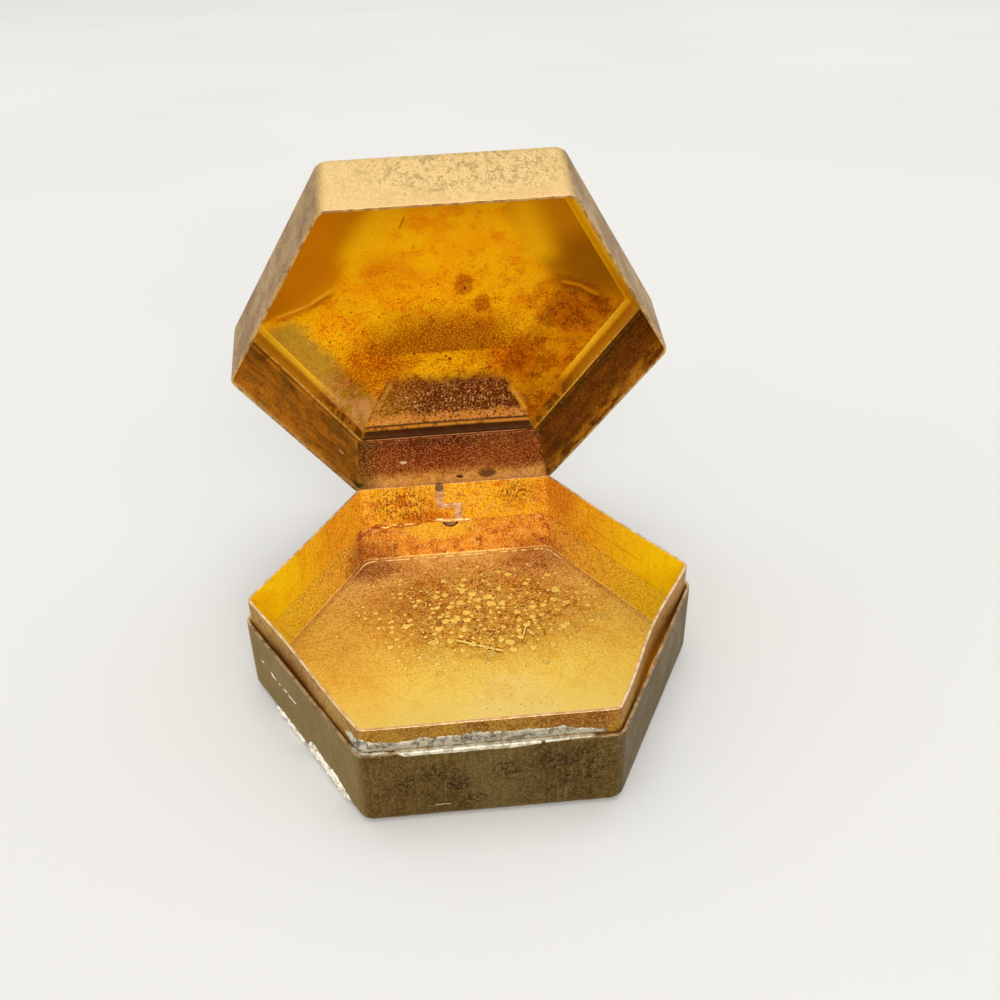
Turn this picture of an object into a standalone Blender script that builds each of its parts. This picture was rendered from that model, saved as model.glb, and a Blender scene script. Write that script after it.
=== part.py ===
"""Hexagonal pressed brass trinket box with a stepped, domed lid on a rear hinge.

The box stands open. The origin is the middle of the underside, +Z is up,
+X is the right-hand corner and +Y is the hinge side. Lengths are in metres.
"""

import math

import bmesh
import bpy
from mathutils import Matrix, Vector

# Outline shared by the body and the lid
ACROSS_CORNERS = 0.0760
CORNER_RADIUS = 0.0025

# Body pan
BODY_HEIGHT = 0.0138
BODY_SHEET = 0.0005
BOTTOM_EDGE_RADIUS = 0.0015

# Collar strip standing inside the pan
COLLAR_SHEET = 0.0005
COLLAR_GAP = 0.00035
COLLAR_ABOVE_RIM = 0.0043
COLLAR_BELOW_RIM = 0.0043
COLLAR_EDGE_WAVE = 0.00015
COLLAR_EDGE_WAVES = 9
FRONT_RIGHT_BOW = 0.0008
FRONT_LEFT_BOW = 0.0004
REAR_RIGHT_BOW = 0.0003

# Stepped seam at the back of the collar and the solder that fills it
SEAM_UPPER_X = -0.0029
SEAM_LOWER_X = 0.0006
SEAM_SLOT_WIDTH = 0.0021
SEAM_STEP_HEIGHT = 0.0015
SEAM_STEP_DROP = 0.0051
SOLDER_GAP = 0.0003

# Hole behind the seam, through which the hinge leaf is soldered on
SOLDER_HOLE_RADIUS = 0.0017
SOLDER_HOLE_X = -0.0010
SOLDER_HOLE_DROP = 0.0046

# Lid pressing, from its rim up
LID_SHEET = 0.0005
RIM_GAP = 0.0003
LID_WALL_HEIGHT = 0.01445
SHOULDER_RADIUS = 0.00085
BORDER_WIDTH = 0.0024
BORDER_DIP = 0.0026
VALLEY_RADIUS = 0.0002
STEP_WIDTH = 0.0011
STEP_RISE = 0.0025
RIDGE_RADIUS = 0.0011
FACET_WIDTH = 0.0100
FACET_RISE = 0.0049
FACET_CREASE_RADIUS = 0.0040
PLATEAU_EDGE_RADIUS = 0.0060

# Hinge
PIN_RADIUS = 0.00085
PIN_CLEARANCE = 0.0003
PIN_HEAD_RADIUS = 0.0013
PIN_HEAD_LENGTH = 0.0006
LEAF_SHEET = 0.0005
LEAF_GAP = 0.0003
LEAF_WIDTH = 0.0240
BODY_LEAF_HEIGHT = 0.0090
LID_LEAF_HEIGHT = 0.0080
LID_KNUCKLE_WIDTH = 0.0100
KNUCKLE_GAP = 0.0003
ROLL_END_GAP = 0.0003
HINGE_BELOW_RIM = 0.0007
OPEN_ANGLE = math.radians(70.5)

# Fineness of the round shapes
BEVEL_SEGMENTS = 4
ARC_STEPS = 5
SIDE_STEPS = 10
ROLL_STEPS = 20
TURNED_STEPS = 24
DOME_STEPS = 5

# How far a cutter passes beyond what it cuts, and how close points are welded
CUT_OVERLAP = 0.0005
WELD_DISTANCE = 0.00001

SIDES = 6
HALF_TURN = math.pi / SIDES
APOTHEM = ACROSS_CORNERS / 2 * math.cos(HALF_TURN)
KNUCKLE_BORE = PIN_RADIUS + PIN_CLEARANCE
KNUCKLE_RADIUS = KNUCKLE_BORE + LEAF_SHEET
HINGE_Y = APOTHEM + LEAF_GAP + KNUCKLE_RADIUS
HINGE_Z = BODY_HEIGHT - HINGE_BELOW_RIM
COLLAR_APOTHEM = APOTHEM - BODY_SHEET - COLLAR_GAP
COLLAR_TOP = BODY_HEIGHT + COLLAR_ABOVE_RIM
COLLAR_BOTTOM = BODY_HEIGHT - COLLAR_BELOW_RIM
COLLAR_MIDDLE_Y = COLLAR_APOTHEM - COLLAR_SHEET / 2


def clear_scene():
    for obj in list(bpy.data.objects):
        bpy.data.objects.remove(obj, do_unlink=True)


def make_collection(name):
    collection = bpy.data.collections.new(name)
    bpy.context.scene.collection.children.link(collection)
    return collection


def make_material(name, colour, roughness):
    material = bpy.data.materials.new(name)
    material.use_nodes = True
    shader = material.node_tree.nodes["Principled BSDF"]
    shader.inputs["Base Color"].default_value = (*colour, 1.0)
    shader.inputs["Roughness"].default_value = roughness
    shader.inputs["Metallic"].default_value = 1.0
    return material


def object_from_bmesh(name, bm, collection, material=None):
    mesh = bpy.data.meshes.new(name)
    bm.to_mesh(mesh)
    bm.free()
    obj = bpy.data.objects.new(name, mesh)
    collection.objects.link(obj)
    if material:
        mesh.materials.append(material)
    return obj


def hide_cutter(obj):
    obj.hide_render = True
    obj.display_type = "WIRE"


def add_solidify(obj, thickness, offset):
    solid = obj.modifiers.new("sheet", "SOLIDIFY")
    solid.thickness = thickness
    solid.offset = offset
    solid.use_even_offset = True


def add_cut(obj, cutter):
    cut = obj.modifiers.new("cut", "BOOLEAN")
    cut.operation = "DIFFERENCE"
    cut.solver = "EXACT"
    cut.object = cutter


def hexagonal_prism(height):
    """A six-sided prism standing on Z = 0, with corners on the X axis."""
    bm = bmesh.new()
    bm.edges.layers.float.new("bevel_weight_edge")
    turn = Matrix.Rotation(HALF_TURN, 4, "Z")
    rise = Matrix.Translation((0, 0, height / 2))
    radius = ACROSS_CORNERS / 2
    bmesh.ops.create_cone(
        bm,
        cap_ends=True,
        segments=SIDES,
        radius1=radius,
        radius2=radius,
        depth=height,
        matrix=rise @ turn,
    )
    return bm


def face_looking(bm, direction):
    return max(bm.faces, key=lambda face: face.normal.dot(Vector(direction)))


def upright_edges(bm):
    return [e for e in bm.edges if abs(e.verts[0].co.z - e.verts[1].co.z) > WELD_DISTANCE]


def weigh_edges(bm, rounding):
    """Give each listed edge the weight for its radius; returns the widest bevel."""
    offsets = {}
    for edge, radius in rounding:
        offsets[edge] = radius * math.tan(edge.calc_face_angle() / 2)
    widest = max(offsets.values())
    weights = bm.edges.layers.float["bevel_weight_edge"]
    for edge, offset in offsets.items():
        edge[weights] = offset / widest
    return widest


def add_rounding(obj, width):
    bevel = obj.modifiers.new("rounding", "BEVEL")
    bevel.limit_method = "WEIGHT"
    bevel.offset_type = "OFFSET"
    bevel.width = width
    bevel.segments = BEVEL_SEGMENTS


def make_drill(name, radius, depth, location, cutters):
    """A round cutter that bores along Y."""
    bm = bmesh.new()
    bmesh.ops.create_cone(
        bm,
        cap_ends=True,
        segments=TURNED_STEPS,
        radius1=radius,
        radius2=radius,
        depth=depth,
    )
    drill = object_from_bmesh(name, bm, cutters)
    drill.location = location
    drill.rotation_euler = (math.pi / 2, 0, 0)
    hide_cutter(drill)
    return drill


def make_body_shell(parts, cutters, material):
    bm = hexagonal_prism(BODY_HEIGHT)
    bmesh.ops.delete(bm, geom=[face_looking(bm, (0, 0, 1))], context="FACES_ONLY")
    floor = face_looking(bm, (0, 0, -1))
    rounding = [(edge, CORNER_RADIUS) for edge in upright_edges(bm)]
    rounding += [(edge, BOTTOM_EDGE_RADIUS) for edge in floor.edges]
    widest = weigh_edges(bm, rounding)
    shell = object_from_bmesh("body_shell", bm, parts, material)
    add_rounding(shell, widest)
    add_solidify(shell, BODY_SHEET, -1)

    place = (SOLDER_HOLE_X, APOTHEM - BODY_SHEET / 2, BODY_HEIGHT - SOLDER_HOLE_DROP)
    depth = BODY_SHEET + 2 * CUT_OVERLAP
    add_cut(shell, make_drill("solder_hole_cutter", SOLDER_HOLE_RADIUS, depth, place, cutters))
    return shell


def collar_outline():
    """Points of the collar's outer face, anticlockwise, with its bowed sides."""
    bows = {0: REAR_RIGHT_BOW, 3: FRONT_LEFT_BOW, 5: FRONT_RIGHT_BOW}
    radius = CORNER_RADIUS - BODY_SHEET - COLLAR_GAP
    reach = (COLLAR_APOTHEM - radius) / math.cos(HALF_TURN)
    points = []
    for corner in range(SIDES):
        middle = corner * 2 * HALF_TURN
        centre = Vector((math.cos(middle), math.sin(middle), 0)) * reach
        for step in range(ARC_STEPS + 1):
            angle = middle - HALF_TURN + step / ARC_STEPS * 2 * HALF_TURN
            points.append(centre + Vector((math.cos(angle), math.sin(angle), 0)) * radius)
        outward = Vector((math.cos(middle + HALF_TURN), math.sin(middle + HALF_TURN), 0))
        following = middle + 2 * HALF_TURN
        next_centre = Vector((math.cos(following), math.sin(following), 0)) * reach
        for step in range(1, SIDE_STEPS):
            share = step / SIDE_STEPS
            along = centre.lerp(next_centre, share) + outward * radius
            inward = bows.get(corner, 0) * math.sin(math.pi * share) ** 2
            points.append(along - outward * inward)
    return points


def make_collar(parts, cutters, material):
    outline = collar_outline()
    bm = bmesh.new()
    loop = []
    for index, point in enumerate(outline):
        phase = COLLAR_EDGE_WAVES * 2 * math.pi * index / len(outline)
        wave = COLLAR_EDGE_WAVE * math.sin(phase)
        loop.append(bm.verts.new((point.x, point.y, COLLAR_BOTTOM + wave)))
    edges = [bm.edges.new((loop[i - 1], loop[i])) for i in range(len(loop))]
    raised = bmesh.ops.extrude_edge_only(bm, edges=edges)["geom"]
    for item in raised:
        if isinstance(item, bmesh.types.BMVert):
            item.co.z = COLLAR_TOP
    bmesh.ops.recalc_face_normals(bm, faces=bm.faces)
    collar = object_from_bmesh("collar", bm, parts, material)
    add_solidify(collar, COLLAR_SHEET, -1)

    through = COLLAR_SHEET + 2 * CUT_OVERLAP
    slot = make_plate("seam_cutter", seam_outline(0, CUT_OVERLAP), through, cutters)
    hide_cutter(slot)
    add_cut(collar, slot)
    return collar


def seam_outline(gap, overrun):
    """The stepped seam in X and Z, its sides drawn in by the gap and its ends run on."""
    half = SEAM_SLOT_WIDTH / 2 - gap
    top = COLLAR_TOP + overrun
    bottom = COLLAR_BOTTOM - overrun
    step_top = COLLAR_TOP - SEAM_STEP_DROP + SEAM_STEP_HEIGHT / 2 - gap
    step_bottom = COLLAR_TOP - SEAM_STEP_DROP - SEAM_STEP_HEIGHT / 2 + gap
    return [
        (SEAM_UPPER_X - half, top),
        (SEAM_UPPER_X - half, step_bottom),
        (SEAM_LOWER_X - half, step_bottom),
        (SEAM_LOWER_X - half, bottom),
        (SEAM_LOWER_X + half, bottom),
        (SEAM_LOWER_X + half, step_top),
        (SEAM_UPPER_X + half, step_top),
        (SEAM_UPPER_X + half, top),
    ]


def make_plate(name, outline, thickness, collection, material=None):
    """A flat upright plate in the collar's rear wall, from a filled 2D curve."""
    curve = bpy.data.curves.new(name + "_outline", "CURVE")
    curve.dimensions = "2D"
    curve.fill_mode = "BOTH"
    curve.extrude = thickness / 2
    spline = curve.splines.new("POLY")
    spline.points.add(len(outline) - 1)
    for point, (x, z) in zip(spline.points, outline):
        point.co = (x, z, 0, 1)
    spline.use_cyclic_u = True
    drawing = bpy.data.objects.new(name + "_outline", curve)
    drawing.location = (0, COLLAR_MIDDLE_Y, 0)
    drawing.rotation_euler = (math.pi / 2, 0, 0)
    collection.objects.link(drawing)
    bpy.context.view_layer.update()

    graph = bpy.context.evaluated_depsgraph_get()
    mesh = bpy.data.meshes.new_from_object(drawing.evaluated_get(graph))
    bm = bmesh.new()
    bm.from_mesh(mesh)
    bmesh.ops.remove_doubles(bm, verts=bm.verts, dist=WELD_DISTANCE)
    bpy.data.meshes.remove(mesh)
    plate = object_from_bmesh(name, bm, collection, material)
    plate.matrix_world = drawing.matrix_world
    bpy.data.objects.remove(drawing, do_unlink=True)
    return plate


def make_lid_shell(parts, hinge, material):
    """The lid pressing, drawn shut over the body and hung from the hinge."""
    bm = hexagonal_prism(LID_WALL_HEIGHT)
    bmesh.ops.delete(bm, geom=[face_looking(bm, (0, 0, -1))], context="FACES_ONLY")
    rounding = [(edge, CORNER_RADIUS) for edge in upright_edges(bm)]
    top = face_looking(bm, (0, 0, 1))
    rounding += [(edge, SHOULDER_RADIUS) for edge in top.edges]
    levels = (
        (BORDER_WIDTH, -BORDER_DIP, 0, VALLEY_RADIUS),
        (STEP_WIDTH, STEP_RISE, RIDGE_RADIUS, RIDGE_RADIUS),
        (FACET_WIDTH, FACET_RISE, FACET_CREASE_RADIUS, PLATEAU_EDGE_RADIUS),
    )
    rings = []
    for width, rise, crease_radius, ring_radius in levels:
        band = bmesh.ops.inset_region(bm, faces=[top], thickness=width, use_even_offset=True)
        bmesh.ops.translate(bm, verts=top.verts, vec=(0, 0, rise))
        rings.append((band["faces"], list(top.edges), crease_radius, ring_radius))
    bm.normal_update()
    for band, ring, crease_radius, ring_radius in rings:
        shared = {edge for face in band for edge in face.edges}
        creases = [e for e in shared if all(f in band for f in e.link_faces)]
        if crease_radius:
            rounding += [(edge, crease_radius) for edge in creases]
        rounding += [(edge, ring_radius) for edge in ring]
    shut = Vector((0, 0, BODY_HEIGHT + RIM_GAP))
    widest = weigh_edges(bm, rounding)
    lid = object_from_bmesh("lid_shell", bm, parts, material)
    add_rounding(lid, widest)
    add_solidify(lid, LID_SHEET, -1)
    lid.parent = hinge
    lid.location = shut - Vector((0, HINGE_Y, HINGE_Z))
    return lid


def leaf_profile(height, side):
    """Middle line of a hinge leaf in Y and Z about the pin; side is +1 for up."""
    middle = KNUCKLE_BORE + LEAF_SHEET / 2
    tail = math.acos(-(KNUCKLE_BORE - ROLL_END_GAP) / KNUCKLE_RADIUS)
    points = [(-middle, side * height)]
    for step in range(ROLL_STEPS + 1):
        angle = math.pi - step / ROLL_STEPS * (math.pi + tail)
        points.append((middle * math.cos(angle), -side * middle * math.sin(angle)))
    return points


def make_leaf(name, height, side, parent, parts, material):
    bm = bmesh.new()
    line = [bm.verts.new((-LEAF_WIDTH / 2, y, z)) for y, z in leaf_profile(height, side)]
    edges = [bm.edges.new((line[i], line[i + 1])) for i in range(len(line) - 1)]
    swept = bmesh.ops.extrude_edge_only(bm, edges=edges)["geom"]
    moved = [item for item in swept if isinstance(item, bmesh.types.BMVert)]
    bmesh.ops.translate(bm, verts=moved, vec=(LEAF_WIDTH, 0, 0))
    leaf = object_from_bmesh(name, bm, parts, material)
    add_solidify(leaf, LEAF_SHEET, 0)
    leaf.parent = parent
    return leaf


def make_box_cutter(name, low, high, parent, cutters):
    bm = bmesh.new()
    low, high = Vector(low), Vector(high)
    size = high - low
    middle = (low + high) / 2
    place = Matrix.Translation(middle) @ Matrix.Diagonal((*size, 1))
    bmesh.ops.create_cube(bm, size=1, matrix=place)
    cutter = object_from_bmesh(name, bm, cutters)
    cutter.parent = parent
    hide_cutter(cutter)
    return cutter


def make_hinge(parts, cutters, body_side, lid_side, material):
    clear = KNUCKLE_RADIUS + KNUCKLE_GAP
    past_roll = KNUCKLE_RADIUS + CUT_OVERLAP
    past_end = LEAF_WIDTH / 2 + CUT_OVERLAP

    body_leaf = make_leaf("hinge_body_leaf", BODY_LEAF_HEIGHT, -1, body_side, parts, material)
    notch_half = LID_KNUCKLE_WIDTH / 2 + KNUCKLE_GAP
    notch = make_box_cutter(
        "body_leaf_cutter",
        (-notch_half, -past_roll, -clear),
        (notch_half, past_roll, past_roll),
        body_side,
        cutters,
    )
    add_cut(body_leaf, notch)

    lid_leaf = make_leaf("hinge_lid_leaf", LID_LEAF_HEIGHT, 1, lid_side, parts, material)
    for name, side in (("left", -1), ("right", 1)):
        ends = sorted((side * LID_KNUCKLE_WIDTH / 2, side * past_end))
        notch = make_box_cutter(
            f"lid_leaf_{name}_cutter",
            (ends[0], -past_roll, -past_roll),
            (ends[1], past_roll, clear),
            lid_side,
            cutters,
        )
        add_cut(lid_leaf, notch)


def pin_profile():
    """Half section of the pin along Z: head, shank, head, from top to bottom."""
    shank_half = LEAF_WIDTH / 2 + PIN_CLEARANCE
    points = []
    for step in range(DOME_STEPS + 1):
        angle = math.pi / 2 * step / DOME_STEPS
        radius = PIN_HEAD_RADIUS * math.sin(angle)
        points.append((radius, shank_half + PIN_HEAD_LENGTH * math.cos(angle)))
    points.append((PIN_RADIUS, shank_half))
    return points + [(radius, -z) for radius, z in reversed(points)]


def make_pin(parts, parent, material):
    bm = bmesh.new()
    line = [bm.verts.new((radius, 0, z)) for radius, z in pin_profile()]
    for first, second in zip(line, line[1:]):
        bm.edges.new((first, second))
    pin = object_from_bmesh("hinge_pin", bm, parts, material)
    turned = pin.modifiers.new("turned", "SCREW")
    turned.steps = TURNED_STEPS
    turned.render_steps = TURNED_STEPS
    turned.use_merge_vertices = True
    turned.merge_threshold = WELD_DISTANCE
    pin.parent = parent
    pin.rotation_euler = (0, math.pi / 2, 0)
    return pin


def make_empty(name, collection, rotation=0.0):
    empty = bpy.data.objects.new(name, None)
    empty.location = (0, HINGE_Y, HINGE_Z)
    empty.rotation_euler = (-rotation, 0, 0)
    empty.empty_display_size = LEAF_WIDTH / 4
    collection.objects.link(empty)
    return empty


def main():
    clear_scene()
    parts = make_collection("trinket_box")
    cutters = make_collection("cutters")
    body_brass = make_material("body_brass", (0.32, 0.22, 0.10), 0.45)
    collar_brass = make_material("collar_brass", (0.80, 0.42, 0.08), 0.35)
    lid_brass = make_material("lid_brass", (0.55, 0.34, 0.10), 0.40)
    hinge_brass = make_material("hinge_brass", (0.40, 0.28, 0.12), 0.45)
    pin_wire = make_material("pin_wire", (0.35, 0.27, 0.16), 0.40)
    solder = make_material("solder", (0.55, 0.48, 0.44), 0.55)

    body_side = make_empty("hinge_axis", parts)
    lid_side = make_empty("lid_pivot", parts, OPEN_ANGLE)
    make_body_shell(parts, cutters, body_brass)
    make_collar(parts, cutters, collar_brass)
    make_plate("collar_seam_solder", seam_outline(SOLDER_GAP, 0), COLLAR_SHEET, parts, solder)
    make_lid_shell(parts, lid_side, lid_brass)
    make_hinge(parts, cutters, body_side, lid_side, hinge_brass)
    make_pin(parts, body_side, pin_wire)
    bpy.context.view_layer.update()


main()
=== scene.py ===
import math

import bmesh
import bpy
from mathutils import Matrix, Vector, noise


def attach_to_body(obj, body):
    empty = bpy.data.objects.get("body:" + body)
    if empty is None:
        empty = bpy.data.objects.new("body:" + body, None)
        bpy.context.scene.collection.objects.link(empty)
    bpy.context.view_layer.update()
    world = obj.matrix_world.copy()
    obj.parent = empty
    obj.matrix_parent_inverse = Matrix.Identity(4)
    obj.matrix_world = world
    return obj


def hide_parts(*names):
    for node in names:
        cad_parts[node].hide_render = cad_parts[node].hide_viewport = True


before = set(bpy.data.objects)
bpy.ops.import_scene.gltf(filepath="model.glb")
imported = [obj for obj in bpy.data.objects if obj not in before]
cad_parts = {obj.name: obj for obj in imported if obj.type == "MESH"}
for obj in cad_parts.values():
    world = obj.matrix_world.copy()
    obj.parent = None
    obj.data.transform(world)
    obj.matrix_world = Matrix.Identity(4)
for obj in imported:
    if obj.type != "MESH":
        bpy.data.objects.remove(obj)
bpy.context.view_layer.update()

# Lengths are in millimetres up to attach(), which turns each mesh into metres
MM = 0.001

# Sizes shared with the part's source
ACROSS_CORNERS = 76.0
CORNER_RADIUS = 2.5
SHEET = 0.5
BODY_HEIGHT = 13.8
BOTTOM_EDGE_RADIUS = 1.5
HOLE_X = -1.0
HOLE_RADIUS = 1.7
HOLE_DROP = 4.6
COLLAR_GAP = 0.35
COLLAR_TOP = 18.1
COLLAR_BOTTOM = 9.5
COLLAR_EDGE_WAVE = 0.15
SEAM_UPPER = (-3.65, -2.15)
SEAM_LOWER = (-0.15, 1.35)
SEAM_STEP = (COLLAR_TOP - 5.6, COLLAR_TOP - 4.6)
RIM_GAP = 0.3
LID_WALL_HEIGHT = 14.45
SHOULDER_RADIUS = 0.85
BORDER_WIDTH = 2.4
BORDER_DIP = 2.6
STEP_WIDTH = 1.1
STEP_RISE = 2.5
RIDGE_RADIUS = 1.1
FACET_WIDTH = 10.0
FACET_RISE = 4.9
PLATEAU_EDGE_RADIUS = 16.0
PIN_RADIUS = 0.85
PIN_CLEARANCE = 0.3
PIN_HEAD_RADIUS = 1.3
PIN_HEAD_LENGTH = 0.6
HINGE_DROP = 0.7
LEAF_GAP = 0.3
LEAF_WIDTH = 24.0
BODY_LEAF_HEIGHT = 9.0
LID_LEAF_HEIGHT = 8.0
LID_KNUCKLE_WIDTH = 10.0
KNUCKLE_GAP = 0.3
ROLL_END_GAP = 0.3
OPEN_ANGLE = math.radians(70.5)

HALF_TURN = math.pi / 6
APOTHEM = ACROSS_CORNERS / 2 * math.cos(HALF_TURN)
COLLAR_APOTHEM = APOTHEM - SHEET - COLLAR_GAP
KNUCKLE_BORE = PIN_RADIUS + PIN_CLEARANCE
KNUCKLE_RADIUS = KNUCKLE_BORE + SHEET
HINGE = Vector((0, APOTHEM + LEAF_GAP + KNUCKLE_RADIUS, BODY_HEIGHT - HINGE_DROP))
TO_METRES = Matrix.Scale(MM, 4)
SWING = Matrix.Rotation(-OPEN_ANGLE, 4, "X")
OPENED = Matrix.Translation(HINGE) @ SWING @ Matrix.Translation(-HINGE)

# The hexagon's sides, anticlockwise from above
REAR_RIGHT, REAR, REAR_LEFT, FRONT_LEFT, FRONT, FRONT_RIGHT = range(6)
FORWARD = Vector((0, -1, 0))

# Fineness of the meshes
ARC = 8
SIDE = 30
STRAIGHT_STEP = 1.2
FILLET_STEP = 0.28
BEAD_STEP = 0.35
BEAD_SIDES = 10
DROP_SIDES = 18
PIN_SIDES = 32

# How far sheet edges are rounded, leaf corners blunted and crusts sunk in
RIM_ROUND = 0.11
LEAF_ROUND = 0.07
LEAF_BLUNT = 0.35
CRUST_EDGE = -0.05
CRUST_BACK = -0.08


def smooth(low, high, value):
    share = min(max((value - low) / (high - low), 0.0), 1.0)
    return share * share * (3 - 2 * share)


def wander(point, size, seed=0.0):
    """Smooth noise from -1 to 1 whose features are about `size` across."""
    return noise.noise(Vector(point) / size + Vector((seed, seed * 1.7, -seed)))


def ray(angle, length=1.0):
    return Vector((math.cos(angle), math.sin(angle), 0)) * length


def rays(count):
    return [ray(2 * math.pi * s / count) for s in range(count)]


def divided(path, step):
    """The points of a path, with at least one more between each two, at most a step apart."""
    points = []
    for first, second in zip(path, path[1:]):
        count = max(2, math.ceil((second - first).length / step))
        points += [first.lerp(second, s / count) for s in range(count)]
    return points + [path[-1]]


def configure(thing, **settings):
    for key, value in settings.items():
        setattr(thing, key, value)
    return thing


# Meshes


def hexagon(apothem, corner):
    """Rounded hexagon from the right-hand corner on: point, outward, side, share along it."""
    reach = (apothem - corner) / math.cos(HALF_TURN)
    points = []
    for k in range(6):
        middle = 2 * k * HALF_TURN
        centre, after = ray(middle, reach), ray(middle + 2 * HALF_TURN, reach)
        for step in range(ARC + 1):
            out = ray(middle - HALF_TURN + step / ARC * 2 * HALF_TURN)
            points.append((centre + out * corner, out, k, 0.0))
        out = ray(middle + HALF_TURN)
        for share in (step / SIDE for step in range(1, SIDE)):
            points.append((centre.lerp(after, share) + out * corner, out, k, share))
    return points


def filleted(corners):
    """Stations (apothem, height, corner radius) along a profile with rounded corners."""
    spots = [Vector(c[:2]) for c in corners]
    previous, previous_radius = spots[0], corners[0][3]
    stations = [(*previous, previous_radius)]
    for i, (_, _, fillet, plan) in enumerate(corners[1:], 1):
        start = stop = spots[i]
        if fillet:
            before = (spots[i - 1] - spots[i]).normalized()
            after = (spots[i + 1] - spots[i]).normalized()
            turn = math.pi - before.angle(after)
            reach = fillet * math.tan(turn / 2)
            start, stop = spots[i] + before * reach, spots[i] + after * reach
            centre = spots[i] + (before + after).normalized() * fillet / math.cos(turn / 2)
        count = max(1, math.ceil((start - previous).length / STRAIGHT_STEP))
        for share in (step / count for step in range(1, count + 1)):
            radius = previous_radius + (plan - previous_radius) * share
            stations.append((*previous.lerp(start, share), radius))
        if fillet:
            count = max(3, math.ceil(fillet * turn / FILLET_STEP))
            first = start - centre
            turn = math.copysign(turn, first.cross(stop - centre))
            for step in range(1, count + 1):
                spot = centre + Matrix.Rotation(turn * step / count, 2) @ first
                stations.append((*spot, plan))
        previous, previous_radius = stop, plan
    return stations


def skin(bm, rings):
    """Faces between closed rings of vertices, each ring joined to the next."""
    for lower, upper in zip(rings, rings[1:]):
        for s in range(len(lower)):
            bm.faces.new((lower[s - 1], lower[s], upper[s], upper[s - 1]))


def loft(stations, push):
    """Capped rounded-hexagon rings; push(point, out, side, share) gives the moved point."""
    bm = bmesh.new()
    rings = []
    for apothem, height, corner in stations:
        up = Vector((0, 0, height))
        outline = hexagon(apothem, min(corner, apothem * 0.9))
        rings.append([bm.verts.new(push(entry[0] + up, *entry[1:])) for entry in outline])
    skin(bm, rings)
    last = rings[-1]
    middle = bm.verts.new(sum((v.co for v in last), Vector()) / len(last))
    for i in range(len(last)):
        bm.faces.new((last[i - 1], last[i], middle))
    return bm


def make_object(name, bm, materials, solid=True):
    """An object from a mesh, which is cleared of loose points and, if solid, faces outward."""
    loose = [v for v in bm.verts if not v.link_faces]
    bmesh.ops.delete(bm, geom=loose, context="VERTS")
    if solid:
        bmesh.ops.recalc_face_normals(bm, faces=bm.faces)
    mesh = bpy.data.meshes.new(name)
    bm.to_mesh(mesh)
    bm.free()
    for material in materials:
        mesh.materials.append(material)
    mesh.shade_smooth()
    obj = bpy.data.objects.new(name, mesh)
    bpy.context.scene.collection.objects.link(obj)
    return obj


def thicken(obj, offset=-1.0, cutter=None, rounding=RIM_ROUND):
    """Give a surface its sheet thickness, its holes and slightly rounded edges."""
    configure(obj.modifiers.new("sheet", "SOLIDIFY"), thickness=SHEET, offset=offset,
              use_even_offset=True, material_offset=1, material_offset_rim=2)
    if cutter:
        configure(obj.modifiers.new("cut", "BOOLEAN"), operation="DIFFERENCE", solver="EXACT",
                  object=cutter)
    configure(obj.modifiers.new("edge", "BEVEL"), limit_method="ANGLE", segments=2,
              angle_limit=math.radians(50), width=rounding, harden_normals=True)
    bpy.context.view_layer.update()
    graph = bpy.context.evaluated_depsgraph_get()
    mesh = bpy.data.meshes.new_from_object(obj.evaluated_get(graph))
    obj.modifiers.clear()
    obj.data = mesh


def to_metres(obj, matrix=Matrix()):
    """Keep each vertex's place with the lid shut, for the shaders, and turn to metres."""
    shut = obj.data.attributes.new("shut", "FLOAT_VECTOR", "POINT")
    for vertex, entry in zip(obj.data.vertices, shut.data):
        entry.vector = vertex.co
    obj.data.transform(TO_METRES @ matrix)


def attach(obj, body, slot, *nodes):
    """Hang a piece on its body; all are made as on the shut box, and the lid's are opened."""
    to_metres(obj, OPENED if body == "lid" else Matrix())
    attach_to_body(obj, body)
    if nodes:
        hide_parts(*nodes)


NEIGHBOURS = (0, -1), (1, 0), (0, 1), (-1, 0)


def corners_of(i, j):
    return (i, j), (i + 1, j), (i + 1, j + 1), (i, j + 1)


def whole(cells, fewest=20):
    """The cells without small crumbs, and with no two that touch at a corner only."""
    kept, left = set(), set(cells)
    while left:
        group, fresh = set(), {min(left)}
        while fresh:
            group |= fresh
            steps = {(i + di, j + dj) for i, j in fresh for di, dj in NEIGHBOURS}
            fresh = steps & (left - group)
        left -= group
        if len(group) >= fewest:
            kept |= group
    for i, j in sorted(kept):
        for k in (i - 1, i + 1):
            if (k, j + 1) in kept and (k, j) not in kept:
                kept.add((i, j + 1))
    return kept


def shell(cells, front, back):
    """Closed mesh over cells of a grid; front and back give the points of a corner."""
    cells = whole(cells)
    bm = bmesh.new()
    made = {}
    for cell in sorted(cells):
        for key in corners_of(*cell):
            if key not in made:
                made[key] = bm.verts.new(front(key)), bm.verts.new(back(key))
        ring = [made[key] for key in corners_of(*cell)]
        bm.faces.new([pair[0] for pair in ring])
        bm.faces.new([pair[1] for pair in reversed(ring)])
        for s, (di, dj) in enumerate(NEIGHBOURS):
            if (cell[0] + di, cell[1] + dj) not in cells:
                p, q = ring[s], ring[(s + 1) % 4]
                bm.faces.new((p[1], q[1], q[0], p[0]))
    return bm


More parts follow.
